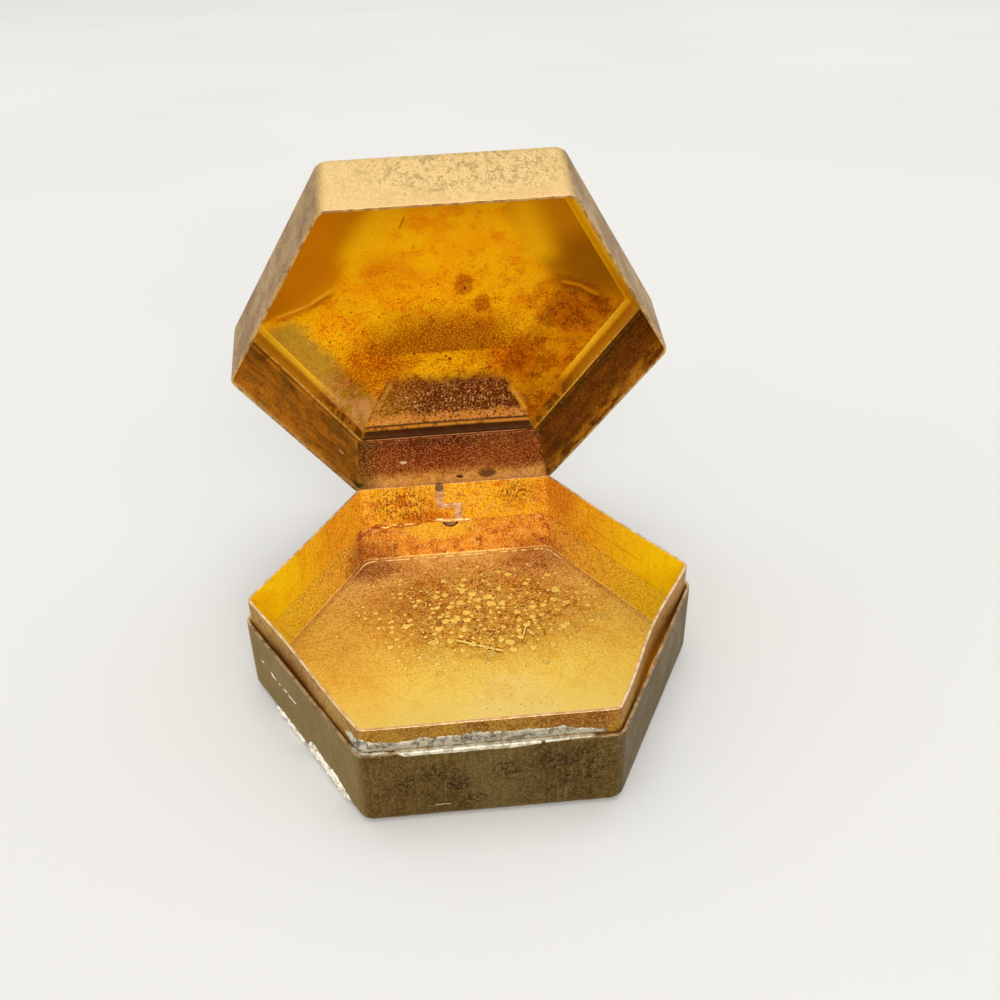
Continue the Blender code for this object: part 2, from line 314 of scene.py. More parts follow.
def crust(name, slot, material, across, up, cell, place, shape):
    """A thin crust on the pan or collar: place(u, v, h) gives the point h above its surface.

    shape(u, v) is the crust's height, below zero where there is none.
    """
    def spot(key):
        return across[0] + key[0] * cell, up[0] + key[1] * cell

    columns, rows = (round((high - low) / cell) for low, high in (across, up))
    heights = {(i, j): shape(*spot((i, j))) for i in range(columns + 1) for j in range(rows + 1)}
    cells = {(i, j) for i in range(columns) for j in range(rows)
             if max(heights[key] for key in corners_of(i, j)) > 0}
    bm = shell(cells, lambda key: place(*spot(key), max(heights[key], CRUST_EDGE)),
               lambda key: place(*spot(key), CRUST_BACK))
    attach(make_object(name, bm, [material]), "body", slot)


def bead(name, body, slot, material, path, radius, lumps, seed):
    """A lumpy string of solder along a path, a little uneven all the way."""
    bm = bmesh.new()
    points = divided([Vector(point) for point in path], BEAD_STEP)
    last = len(points) - 1
    rings = []
    for i, point in enumerate(points):
        ahead = (points[min(i + 1, last)] - points[max(i - 1, 0)]).normalized()
        side = ahead.cross(Vector((0.3, 0.2, 0.93))).normalized()
        rise = side.cross(ahead)
        taper = smooth(-1.0, 4.0, min(i, last - i))
        ring = []
        for turn in rays(BEAD_SIDES):
            out = side * turn.x + rise * turn.y
            width = radius * taper * (1 + lumps * wander(point + out * radius, 1.1, seed))
            ring.append(bm.verts.new(point + out * width))
        rings.append(ring)
    skin(bm, rings)
    bm.faces.new(list(reversed(rings[0])))
    bm.faces.new(rings[-1])
    attach(make_object(name, bm, [material]), body, slot)


# Shaders


def tone(red, green, blue):
    """Linear colour from the usual 0 to 255 numbers."""
    def linear(value):
        value /= 255
        return value / 12.92 if value <= 0.04045 else ((value + 0.055) / 1.055) ** 2.4
    return (linear(red), linear(green), linear(blue), 1.0)


class Nodes:
    """Short ways to build a node tree."""

    def __init__(self, tree):
        self.tree = tree

    def feed(self, node, socket, value):
        if isinstance(value, bpy.types.NodeSocket):
            self.tree.links.new(value, node.inputs[socket])
        else:
            node.inputs[socket].default_value = value

    def node(self, kind, *values, **named):
        """A node with the values on its first inputs; a capital means a named input."""
        made = self.tree.nodes.new("ShaderNode" + kind)
        for key, value in named.items():
            if key[0].isupper():
                self.feed(made, key, value)
            else:
                setattr(made, key, value)
        for socket, value in enumerate(values):
            self.feed(made, socket, value)
        return made

    def vector(self, operation, *values):
        return self.node("VectorMath", *values, operation=operation).outputs[0]

    def math(self, operation, *values):
        return self.node("Math", *values, operation=operation).outputs[0]

    def most(self, best, *others):
        for value in others:
            best = self.math("MAXIMUM", best, value)
        return best


class Finish(Nodes):
    """A Principled material painted in layers.

    A mask is a socket, a number, or what span() takes, such as (value, low, high). The lid
    carries its marks as it turns, since all places are those of the shut box.
    """

    def __init__(self, name, base, broad, fine=None, **constants):
        self.material = bpy.data.materials.new(name)
        self.material.use_nodes = True
        super().__init__(self.material.node_tree)
        self.shader = self.tree.nodes["Principled BSDF"]
        self.coords = self.node("Attribute", attribute_name="shut").outputs["Vector"]
        self.x, self.y, self.z = self.node("SeparateXYZ", self.coords).outputs
        self.colour = tone(*base)
        self.broad = self.noise(*broad)
        self.fine = fine and self.noise(*fine)
        for socket, value in constants.items():
            self.shader.inputs[socket.replace("_", " ")].default_value = value

    def span(self, value, low, high, to_low=0.0, to_high=1.0):
        """A soft ramp that starts where the value is low and ends where it is high."""
        return self.node("MapRange", value, low, high, to_low, to_high,
                         interpolation_type="SMOOTHSTEP").outputs[0]

    def times(self, *masks):
        product, *others = (self.span(*m) if isinstance(m, tuple) else m for m in masks)
        for mask in others:
            product = self.math("MULTIPLY", product, mask)
        return product

    def less(self, value):
        return self.math("SUBTRACT", 1.0, value)

    def wavy(self, value, ripple, amount):
        return self.math("MULTIPLY_ADD", ripple, amount, value)

    def band(self, value, low, high, soft):
        return self.times((value, low - soft, low + soft), (value, high + soft, high - soft))

    def noise(self, size, detail=3.0, roughness=0.55, stretch=(1, 1, 1), seed=0.0):
        """Noise from 0 to 1 whose largest features are about `size` across."""
        shift = (seed * 13, seed * 7, seed * 11)
        shifted = self.vector("MULTIPLY_ADD", self.coords, stretch, shift)
        return self.node("TexNoise", Vector=shifted, Scale=1 / size, Detail=detail,
                         Roughness=roughness).outputs[0]

    def flecks(self, size, limit, seed, detail=3.0, soft=0.05, stretch=(1, 1, 1)):
        """Ragged grains, or clumps when detail is high, where noise passes the limit."""
        value = self.noise(size, detail, 0.74, stretch, seed)
        if isinstance(limit, bpy.types.NodeSocket):
            value, limit = self.math("SUBTRACT", value, limit), 0.0
        return self.span(value, limit, limit + soft)

    def spots(self, size, share, seed, reach):
        """Roundish spots in a share of the cells, and the distance from each middle."""
        drift = self.node("TexNoise", Vector=self.coords, Scale=1.6 / size).outputs[1]
        shift = (seed * 17, seed * 5, seed * 3)
        moved = self.vector("MULTIPLY_ADD", drift, (0.3 * size,) * 3, shift)
        moved = self.vector("ADD", self.coords, moved)
        made = self.node("TexVoronoi", Vector=moved, Scale=1 / size)
        chance = self.node("SeparateXYZ", made.outputs["Color"]).outputs[0]
        far = made.outputs["Distance"]
        return self.times((far, reach, reach * 0.6), (chance, 0.98 - share, 1.0 - share)), far

    def near(self, centre, reach, soft=0.35, ragged=0.0, grain=3.0, seed=0.0):
        """1 inside an ellipsoid, fading to 0 at its edge, which noise can make ragged."""
        scaled = self.vector("DIVIDE", self.vector("SUBTRACT", self.coords, centre), reach)
        away = self.node("VectorMath", scaled, operation="LENGTH").outputs["Value"]
        if ragged:
            away = self.wavy(away, self.noise(grain, 5, 0.7, seed=seed), ragged)
        return self.span(away, 1 + soft + ragged / 2, 1 - soft + ragged / 2)

    def toward(self, direction, offset=0.0):
        """How far a point lies along a level direction."""
        across = self.math("MULTIPLY_ADD", self.x, direction[0], offset)
        return self.math("MULTIPLY_ADD", self.y, direction[1], across)

    def line(self, start, stop, width, core=0.3):
        """1 along a straight mark in X and Y, drawn on whatever surface it crosses."""
        start, stop = Vector(start), Vector(stop)
        along = (stop - start).normalized()
        across = Vector((-along.y, along.x))
        middle = (start + stop) / 2
        half = (stop - start).length / 2
        far = self.math("ABSOLUTE", self.toward(across, -across.dot(middle)))
        run = self.math("ABSOLUTE", self.toward(along, -along.dot(middle)))
        return self.times((far, width, width * core), (run, half, half * (0.5 + core)))

    def toward_side(self, k):
        return self.toward(ray((2 * k + 1) * HALF_TURN))

    def sector(self, k, soft=0.4):
        """1 over one of the hexagon's six sides."""
        others = self.most(self.toward_side(k - 1), self.toward_side(k + 1))
        return self.span(self.math("SUBTRACT", self.toward_side(k), others), -soft, soft)

    def outward(self):
        """How far out a point lies, as the apothem of the hexagon through it."""
        return self.most(*[self.math("ABSOLUTE", self.toward_side(k)) for k in range(3)])

    def paint(self, rgb, *masks, blend="MIX"):
        """Lay a colour on where the masks are 1."""
        made = self.node("Mix", data_type="RGBA", blend_type=blend)
        for socket, value in ((0, self.times(*masks)), (6, self.colour), (7, tone(*rgb))):
            self.feed(made, socket, value)
        self.colour = made.outputs[2]

    def stain(self, rgb, *masks):
        """Tint and darken what is there where the masks are 1."""
        self.paint(rgb, *masks, blend="MULTIPLY")

    def grainy(self, size, amount, dark, light, seed):
        """Fine speckle: some of it a darker stain, some of it lighter than the colour."""
        value = self.noise(size, 4, 0.8, seed=seed)
        self.stain(dark, (value, 0.49, 0.59), amount)
        self.paint(light, (value, 0.50, 0.38), amount)

    def done(self, rough, metal, *bumps, spread=0.2, depth=0.015, matt=None):
        """The material; roughness, and metal if given, change between two values."""
        roughness = self.span(self.broad, 0.5 - spread, 0.5 + spread, *rough)
        if matt:
            roughness = self.wavy(roughness, matt, 0.14)
        self.feed(self.shader, "Base Color", self.colour)
        self.feed(self.shader, "Roughness", roughness)
        if metal:
            self.feed(self.shader, "Metallic", self.span(self.broad, 0.3, 0.7, *metal))
        if self.fine:
            bumps = (self.fine, depth), *bumps
        for height, deep in bumps:
            bump = self.node("Bump", Height=height, Distance=deep * MM)
            if self.shader.inputs["Normal"].links:
                self.feed(bump, "Normal", self.shader.inputs["Normal"].links[0].from_socket)
            self.feed(self.shader, "Normal", bump.outputs[0])
        return self.material


# Amber lacquer keeps its highlights amber, dull metal keeps them faint
LACQUER = {"Specular_IOR_Level": 0.2, "Specular_Tint": (1.0, 0.74, 0.36, 1.0)}
TARNISH = {"Specular_IOR_Level": 0.25, "Specular_Tint": (1.0, 0.90, 0.72, 1.0)}
FINE = (0.4, 3, 0.7)


def pan_inside():
    """Yellow lacquered brass, stained brown round the dried drops and by the back walls."""
    f = Finish("tray_lacquered_brass", (255, 226, 6), (9, 4, 0.62), FINE, **LACQUER)
    floor = f.span(f.z, 1.3, 0.9)
    back = f.span(f.y, 2, 31)
    rear = f.span(f.y, 29.5, 31.2)
    # Walls, from lemon at the corners to brown orange at the back
    f.paint((252, 184, 20), back)
    f.paint((240, 152, 30), rear, 0.9)
    f.stain((226, 176, 90), f.flecks(2.6, 0.50, 17, 6, 0.10), back, 0.7)
    f.stain((186, 104, 40), f.flecks(2.2, 0.52, 18, 6, 0.06), rear, 0.9)
    f.paint((255, 200, 104), f.flecks(1.5, 0.54, 16, 5, 0.05), rear, 0.7)
    f.paint((255, 196, 36), f.near((-3.4, 32.4, 7.4), (6.6, 3, 2.6), 0.3, 0.9, 2.2, 3), 0.85)
    f.paint((255, 206, 110), f.spots(0.9, 0.55, 29, 0.40)[0], (f.y, 10, 27), f.less(floor), 0.4)
    # Floor: pale at the front as a painted reflection of the light overhead, more orange further
    # back as a painted reflection of the lid, orange at the left, pinkish brown at the back
    f.paint((255, 246, 146), floor)
    f.paint((255, 232, 106), floor, (f.y, -22, 0))
    f.paint((255, 220, 130), floor, (f.y, 8, 28))
    f.paint((255, 210, 84), floor, f.near((-22, 3, 0), (10, 15, 9), 0.7), 0.7)
    # A pale patch at the front, part of the painted reflection
    f.paint((255, 240, 150), floor, f.near((6, -13, 0), (7.5, 9, 9), 0.25, 0.5, 4, 6), 0.6)
    f.stain((244, 222, 170), floor, f.flecks(5, 0.48, 27, 6, 0.12), (f.y, -20, 0), 0.6)
    # Brown mottling under the drops and behind them
    under = f.times(f.near((3.5, 14.5, 0), (19, 12.5, 30), 0.45, 0.7, 5), floor)
    f.stain((240, 208, 130), under, 0.8)
    f.stain((176, 136, 70), under, f.flecks(1.6, 0.49, 13, 6, 0.06), 0.8)
    f.stain((226, 188, 156), (f.y, 20, 27), floor, f.flecks(3.0, 0.48, 14, 6, 0.1), 0.8)
    f.stain((170, 106, 82), f.near((-17.5, 29.5, 2), (6, 4, 5), 0.5, 0.8, 1.6), 0.8)
    f.stain((180, 116, 86), f.near((15.5, 29, 1), (6, 5, 3), 0.5, 0.8, 1.6), 0.6)
    # Fine grain, strongest at the back and among the drops
    strong = f.most(under, f.span(f.y, -20, 26, 0.05, 0.85))
    fade = f.times(strong, f.less(f.times(rear, 0.4)))
    f.grainy(0.34, fade, (190, 150, 86), (255, 236, 140), 37)
    f.stain((160, 110, 56), f.flecks(0.5, 0.55, 23, 4), strong, f.less(f.times(rear, 0.5)), 0.8)
    f.paint((255, 232, 120), f.flecks(0.6, 0.56, 15, 3), strong, f.less(back), 0.7)
    # The bare crease where wall and floor meet, broken in places
    broken = f.noise(1.5, 5, 0.7, seed=4)
    f.stain((190, 130, 70), f.band(f.z, 0.52, 1.0, 0.1), (f.y, -8, 20, 0.2, 0.7))
    f.paint((252, 222, 136), f.band(f.z, 0.60, 0.74, 0.05), (broken, 0.42, 0.54),
            (f.y, 27, 29.5, 0.22, 1.0))
    # Two pale scratches among the drops, each between brown ones
    for x0, y0, x1, y1, width in ((-2.6, 6.0, 6.0, 1.8, 0.42), (10.8, 8.6, 9.4, 4.4, 0.25)):
        for up in (0.5, -0.5):
            f.stain((150, 100, 50), f.line((x0, y0 + up), (x1, y1 + up), 0.26), floor)
        f.paint((255, 236, 124), f.line((x0, y0), (x1, y1), width), floor, 0.9)
    pits = f.times(f.spots(0.9, 0.4, 9, 0.24)[0], f.near((6, -14, 0), (7, 7, 5), 0.5))
    f.stain((170, 140, 80), pits, floor, 0.7)
    return f.done((0.34, 0.46), (0.05, 0.15), (f.broad, 0.10), spread=0.3)


def pan_outside():
    """Brown-olive tarnish, its base darkened further by a painted dark reflection, rubbed in
    places, with dark ragged spots and upright rub marks. Painted light brightens the front left
    wall and painted shade darkens the front right wall.
    """
    # The base colour is the tarnish, darkened further as a painted dark reflection
    f = Finish("pan_tarnished_brass", (98, 76, 32), (6, 5, 0.65), FINE, **TARNISH)
    rubbed = f.noise(0.45, 3, 0.65, (1, 1, 0.08), 2)
    out = f.outward()
    wall = f.span(out, 31.2, 32.2)
    f.paint((84, 60, 20), (f.broad, 0.42, 0.60))
    f.stain((206, 190, 150), f.flecks(2.4, 0.50, 8, 6, 0.12), 0.8)
    f.paint((100, 66, 28), f.near((-17, -33, 5), (5, 6, 9), 0.8, 0.5), 0.6)
    f.paint((116, 98, 56), f.near((1.5, -33, 6), (4, 6, 8), 0.8, 0.6), 0.5)
    # Painted light on the front left wall and painted shade on the front right wall
    f.paint((138, 116, 60), f.sector(FRONT_LEFT, 1.0), wall, 0.7)
    f.paint((82, 68, 46), f.sector(FRONT_RIGHT, 1.0), wall, 0.75)
    f.paint((140, 120, 72), (rubbed, 0.50, 0.72), 0.35)
    f.paint((130, 108, 58), f.less(wall), (f.broad, 0.56, 0.40), 0.5)
    # Dark ragged spots, most of them high on the front wall
    ragged = f.flecks(0.8, 0.48, 36, 5, 0.06)
    for x, z, wide, tall in (
            (-8.6, 9.0, 1.8, 1.7), (-5.0, 6.6, 1.8, 2.0), (2.4, 8.8, 2.2, 2.2),
            (9.0, 9.9, 2.6, 1.6), (13.2, 10.4, 1.9, 2.0), (14.6, 7.0, 1.9, 1.8),
            (11.0, 6.0, 1.0, 1.1), (17.0, 9.2, 0.9, 1.3), (-12.5, 7.4, 1.2, 1.8),
            (-2.6, 3.6, 1.4, 1.0)):
        spot = f.near((x, -33, z), (wide * 1.15, 2, tall), 0.5, 0.8, 1.4, x)
        f.stain((158, 132, 74), spot, ragged)
    other = f.less(f.times(f.sector(FRONT), wall))
    f.stain((184, 170, 128), f.flecks(1.4, 0.57, 16, 7, 0.10), other, 0.7)
    f.grainy(0.4, 0.35, (170, 150, 120), (150, 128, 76), 39)
    # Edges rubbed bright, and one thin scratch low at the front
    edge = f.flecks(2.2, 0.45, 21, 4, 0.1)
    f.paint((176, 150, 104), (f.z, 13.3, 13.75), edge, 0.5)
    f.paint((170, 146, 96), (f.z, 1.5, 0.5), (out, 31.0, 31.9), edge, 0.4)
    scratch = f.line((-8.6, -33), (-6.0, -33), 9)
    f.paint((236, 222, 180), scratch, f.band(f.z, 2.75, 2.85, 0.07), 0.9)
    return f.done((0.38, 0.56), (0.75, 0.6), (rubbed, 0.006), (f.broad, 0.06), spread=0.25)


def collar_inside():
    """Yellow lacquer, orange and thick with brown and pale specks across the back."""
    f = Finish("collar_lacquered_brass", (255, 222, 4), (6, 4, 0.62), FINE, **LACQUER)
    rear = f.span(f.y, 29, 31)
    f.paint((252, 186, 14), (f.y, 0, 30))
    f.stain((246, 214, 100), (f.broad, 0.47, 0.62), 0.6)
    f.paint((250, 190, 60), rear, f.flecks(1.8, 0.47, 19, 6, 0.08), 0.8)
    f.stain((226, 150, 70), rear, f.flecks(2.4, 0.52, 59, 6, 0.08), 0.8)
    pale = f.flecks(0.55, 0.535, 11, 3)
    f.paint((255, 212, 90), pale, (f.y, 8, 26), 0.7)
    # Grime in upright dashes left of the seam and in a patch to its right
    dashes = f.flecks(0.5, 0.50, 8, 5, stretch=(1, 1, 0.45))
    f.stain((140, 70, 20), f.near((-10.5, 31, 14), (5.5, 4, 4.5), 0.5), dashes)
    patch = f.near((12.0, 31, 15), (3.0, 3, 2.6), 0.5, 0.6, 1.2)
    f.stain((140, 76, 24), patch, f.flecks(0.6, 0.49, 5, 3))
    f.stain((214, 150, 100), f.near((-5.5, 31, 10.5), (4.5, 4, 1.8), 0.5, 0.8, 1.5), 0.8)
    f.stain((160, 90, 20), f.flecks(0.42, f.span(f.y, 0, 30, 0.62, 0.55), 7), 0.75)
    f.stain((206, 136, 84), f.near((19, 28, 15), (6, 5, 5), 0.5, 0.5), 0.5)
    f.grainy(0.34, f.span(f.y, 0, 26, 0.08, 0.5), (206, 140, 50), (255, 222, 90), 41)
    f.stain((226, 170, 110), (f.noise(0.5, 2, 0.5, (1, 1, 0.05), 3), 0.58, 0.72), 0.3)
    # A long dark scratch on the right-hand wall
    f.stain((140, 80, 30), f.band(f.z, 13.1, 13.2, 0.08), f.near((28, 16, 13), (6, 9, 3)), 0.85)
    return f.done((0.28, 0.40), (0.12, 0.25), (pale, 0.006), (f.broad, 0.08), spread=0.3)


def collar_outside():
    """Golden brown, with reddish stains at the front and pinkish rubbing at the sides."""
    f = Finish("collar_tarnished_brass", (176, 128, 40), (3.5, 5, 0.65), (0.4, 3, 0.65), **TARNISH)
    rubbed = f.noise(0.4, 3, 0.6, (1, 1, 0.12), 2)
    left = f.span(f.x, -18, -22)
    f.paint((152, 106, 34), (f.broad, 0.40, 0.60))
    f.paint((168, 118, 66), (f.x, 16, 27), 0.6)
    f.paint((190, 156, 84), left, (rubbed, 0.35, 0.65), 0.8)
    f.stain((170, 84, 60), left, f.near((-29, -15, 12), (6, 10, 5), 0.5, 1.0, 3), 0.6)
    f.stain((190, 140, 110), f.flecks(1.5, 0.54, 3, 5, 0.08), 0.8)
    f.stain((206, 140, 100), f.near((13, -32, 17), (6, 2, 2), 0.6, 0.8, 2), 0.6)
    f.grainy(0.34, 0.5, (160, 120, 80), (212, 172, 90), 43)
    return f.done((0.34, 0.5), (0.75, 0.6), (f.broad, 0.06), spread=0.25)


def bare_edge(name, clean, dull):
    """Cut and rubbed sheet edges, pinkish and brighter than the faces."""
    f = Finish(name, clean, (1.8, 4, 0.65), (0.3, 3, 0.6), Metallic=0.6)
    f.paint(dull, (f.broad, 0.40, 0.62))
    f.paint((120, 80, 56), (f.fine, 0.52, 0.8), 0.4)
    return f.done((0.28, 0.42), None, depth=0.01)


def lid_inside():
    """Amber lacquered brass: bright middle, smooth front corners darkened by painted shade and lit
    by painted highlights, brown and crusted back.

    The facets start 19 mm out, the ridge lies 29.4, the valley 30.5 and the wall 32.4 out.
    """
    f = Finish("lid_lacquered_brass", (255, 196, 3), (7, 4, 0.62), (0.45, 3, 0.7), **LACQUER)
    blotch = f.noise(3.0, 7, 0.72, seed=5)
    out, rear, rear_left = f.outward(), f.sector(REAR), f.sector(REAR_LEFT)
    rear_right, front_right = f.sector(REAR_RIGHT), f.sector(FRONT_RIGHT)
    facet = f.band(out, 18.6, 29.8, 1.4)
    f.paint((255, 180, 3), (f.broad, 0.42, 0.60))
    f.stain((244, 206, 110), (blotch, 0.48, 0.62), 0.8)
    # Front corners, smooth and darkened by painted shade, with a painted highlight zone along each
    f.paint((220, 142, 1), f.sector(FRONT_LEFT), facet, 0.9)
    f.paint((206, 140, 2), front_right, facet, 0.9)
    # A darker patch on the front right facet
    f.paint((150, 96, 4), f.near((25.5, -8, 29), (5.5, 7.5, 9), 0.6), front_right, facet, 0.7)
    # The painted highlight zones on the front corners
    for start, stop in (((-6.5, -23.5), (-17.4, -6.5)), ((12.8, -23.0), (18.8, -5.0))):
        f.paint((255, 202, 12), f.line(start, stop, 5.2, 0.0), 0.95)
    # Olive and pinkish patina on the rear left facet
    patina = f.times((f.wavy(out, blotch, 6), 25.8, 28.4), (f.y, 0.5, 3.0), rear_left)
    f.paint((176, 144, 54), patina, 0.85)
    f.paint((230, 176, 112), patina, (f.y, 12, 20), f.flecks(2.0, 0.44, 22, 5, 0.1), 0.85)
    # Creases at the side corners, painted only: a pale painted highlight line, each above a brown
    # painted shade
    for x0, y0, x1, y1 in (
            (-31.5, -0.2, -23.0, -0.9), (-25.0, -0.5, -19.0, -3.4),
            (21.5, -1.9, 26.0, -1.5), (24.5, -1.8, 29.5, 0.4)):
        f.stain((200, 140, 60), f.line((x0, y0 + 0.8), (x1, y1 + 0.8), 1.2, 0.0), 0.6)
        f.paint((255, 206, 50), f.line((x0, y0), (x1, y1), 0.7, 0.0), 0.8)
    # Brown streaks on the rear right facet
    f.stain((206, 180, 110), rear_right, facet, 0.9)
    f.stain((190, 150, 70), rear_right, facet, f.flecks(3.2, 0.46, 25, 6, 0.12), 0.8)
    # Brown clouds, some with a sharp edge
    for x, y, wide, deep, soft, tint in (
            (23.0, 2.6, 7.4, 6.0, 0.12, (216, 176, 90)),
            (4.0, -2.2, 1.8, 2.4, 0.3, (190, 130, 60)),
            (7.4, 2.6, 1.6, 2.2, 0.3, (190, 130, 60)),
            (-10.0, -6.0, 5.0, 4.0, 0.6, (236, 200, 110)),
            (-14.0, 17.0, 7.0, 6.0, 0.6, (200, 140, 60)),
            (13.0, 16.0, 6.0, 4.0, 0.6, (216, 160, 70))):
        f.stain(tint, f.near((x, y, 32), (wide, deep, 30), soft, 1.0, 2.2, x), 0.85)
    cloud = f.near((0.5, 11.0, 32), (13, 6.5, 30), 0.6, 0.7, 3, 9)
    f.stain((164, 104, 40), cloud, (f.y, 14.6, 13.9), 0.85)
    # Rear facet: maroon above, the lacquer deepened by a painted dark reflection, speckled gold by
    # the ridge, between two pale creases painted as highlights
    ragged_out = f.wavy(out, blotch, 5)
    rear_facet = f.times(rear, (ragged_out, 20.6, 24.6), (f.x, -13, -3, 0.72, 1))
    # Maroon lacquer, darkened further as a painted dark reflection
    f.paint((82, 24, 2), rear_facet, 0.96)
    gold = f.times(rear, f.band(ragged_out, 29.6, 32.5, 0.6), (out, 29.1, 28.7))
    f.paint((236, 164, 66), gold, f.flecks(0.8, 0.40, 48, 4), 0.95)
    # Painted highlights along the two creases
    f.paint((255, 196, 50), f.line((12.8, 22.6), (16.4, 28.0), 0.7), 0.7)
    left_crease = f.line((-10.6, 20.5), (-15.2, 27.6), 0.8)
    f.paint((222, 166, 66), left_crease, f.flecks(0.7, 0.42, 30), 0.7)
    # Light and dark grain, clumped and denser to the back, and single pits
    corners = f.times(facet, (f.y, 3, -3), 0.9)
    calm = f.times(f.most(patina, f.times(rear_right, facet)), 0.55)
    rougher = f.times(f.less(corners), f.less(calm))
    coarse = f.times(rougher, f.less(rear_facet), (f.y, -22, 14, 0.15, 0.7))
    f.grainy(0.36, coarse, (216, 150, 70), (255, 214, 40), 45)
    f.grainy(0.36, f.times(rear_facet, 0.8), (150, 80, 30), (206, 130, 66), 44)
    limit = f.wavy(f.span(f.y, -24, 22, 0.68, 0.57), f.span(blotch, 0.42, 0.58), -0.05)
    grain = f.times(f.flecks(0.5, limit, 9, 4), rougher)
    f.stain((176, 100, 40), grain, 0.8)
    for x, y, wide in (
            (4.2, -1.3, 0.30), (-11.9, 4.2, 0.20), (-21.5, 8.2, 0.22), (1.2, 16.2, 0.36),
            (0.4, 15.4, 0.28), (-18.5, 17.5, 0.26), (-17.0, 2.6, 0.16), (9.8, 11.6, 0.2),
            (-5.8, 14.2, 0.26)):
        f.paint((112, 38, 6), f.near((x, y, 32), (wide, wide, 20), 0.4, 0.8, 0.4), 0.9)
    # The step: gold at the sides, turning maroon at the back under painted shade, its outer edge
    # worn bright, where a painted highlight lies too
    turning = f.span(f.y, 13, 22)
    step = f.band(out, 29.45, 30.4, 0.15)
    groove = f.band(out, 28.95, 30.4, 0.15)
    f.paint((226, 160, 16), step, 0.8)
    # Painted shade darkens the step towards the back
    f.paint((166, 104, 12), step, (f.y, -5, 5), 0.75)
    f.paint((104, 56, 8), step, turning, f.flecks(3.0, 0.44, 14, 4, 0.1), 0.9)
    # Painted shade in the groove at the back
    f.paint((48, 14, 4), groove, rear, 0.95)
    # Painted highlight along the ridge at the sides
    f.paint((255, 210, 40), f.band(out, 28.75, 29.35, 0.15), f.less(turning), 0.8)
    # Painted highlight on the front right border
    f.paint((255, 206, 16), f.band(out, 28.8, 30.7, 0.25), front_right, (f.x, 33, 27, 0.4, 0.95))
    wear_and_highlight = f.flecks(1.5, 0.42, 16, 4)
    # The worn outer edge, which also carries a painted highlight
    f.paint((250, 208, 96), f.band(out, 30.42, 30.78, 0.12), f.less(rear), wear_and_highlight, 0.9)
    f.paint((232, 170, 120), f.band(out, 30.42, 30.64, 0.08), rear, wear_and_highlight, 0.9)
    # Painted highlight along the ridge at the back
    f.paint((206, 136, 44), f.band(out, 29.15, 29.40, 0.10), rear, (wear_and_highlight, 0.0, 1.0, 0.35, 0.9))
    # Walls: dark amber at the sides, red-brown fading to tan at the back
    wall = f.span(out, 31.2, 31.6)
    rear_wall = f.times(wall, rear)
    streak = f.noise(2.0, 5, 0.66, (0.4, 0.4, 1.2), 2)
    f.paint((200, 142, 34), wall)
    f.paint((132, 100, 32), wall, (streak, 0.42, 0.58), 0.8)
    f.stain((170, 150, 116), wall, (f.x, 4, 16))
    f.paint((214, 164, 40), wall, (f.z, 19, 15), (f.x, 4, 18), (streak, 0.60, 0.42), 0.8)
    f.paint((226, 190, 110), wall, (f.z, 15.4, 14.3), f.less(rear), (f.x, 4, -4), 0.7)
    f.paint((150, 76, 24), rear_wall)
    f.stain((206, 130, 100), rear_wall, f.near((-3, 32, 24), (9, 3, 5), 0.5, 0.6, 2), 0.8)
    f.paint((255, 206, 100), rear_wall, (f.wavy(f.z, blotch, 6), 22.0, 18.6), 0.95)
    f.paint((246, 206, 140), rear_wall, (f.z, 17.2, 14.4), f.flecks(1.6, 0.46, 28, 5, 0.08), 0.8)
    f.paint((96, 76, 26), rear_wall, (f.x, -13, -17), 0.7)
    f.stain((200, 160, 110), wall, f.flecks(2.4, 0.50, 35, 6, 0.14), 0.7)
    f.grainy(0.34, f.times(wall, (rear, 0, 1, 0.4, 0.75)), (160, 96, 50), (226, 160, 90), 47)
    for x, y, z, wide, mark in (
            (31.0, 18.5, 19.0, 1.0, (60, 30, 12)),
            (-9.5, 32.4, 20.6, 0.7, (240, 214, 176)),
            (-17.2, 30.0, 19.5, 0.8, (238, 206, 160)),
            (-21.5, 27.6, 20.5, 0.5, (238, 206, 160)),
            (-18.6, 31.4, 15.4, 1.2, (70, 76, 30)),
            (1.5, 32.4, 16.0, 0.7, (100, 44, 20)),
            (7.0, 32.4, 16.4, 1.8, (120, 80, 44))):
        f.paint(mark, f.near((x, y, z), (wide, 1.5, wide * 0.6), 0.3, 0.9, 0.6))
    # Pale crusted droplets over the rear facet and wall
    off_axis = f.math("ABSOLUTE", f.x)
    crusted = f.times((f.y, 20.0, 24.5), (off_axis, 19, 12), f.less(groove))
    crumbs = 0.0
    for size, share, seed in ((0.9, 0.14, 12), (0.62, 0.30, 21), (0.44, 0.30, 24)):
        mask, far = f.spots(size, share, seed, 0.42)
        crumbs = f.most(crumbs, f.times(mask, crusted, (far, 0.02, 0.2, 0.6, 1.0)))
    f.paint((212, 154, 92), crumbs, (wall, 0.0, 1.0, 0.85, 0.5))
    # One dark scratch near the front
    f.stain((150, 76, 24), f.line((-5.9, -17.9), (-7.2, -14.9), 0.22, 0.0), 0.9)
    return f.done((0.26, 0.38), (0.25, 0.4), (grain, 0.004), (blotch, 0.06), (crumbs, 0.05),
                  spread=0.25, matt=f.most(crumbs, rear))


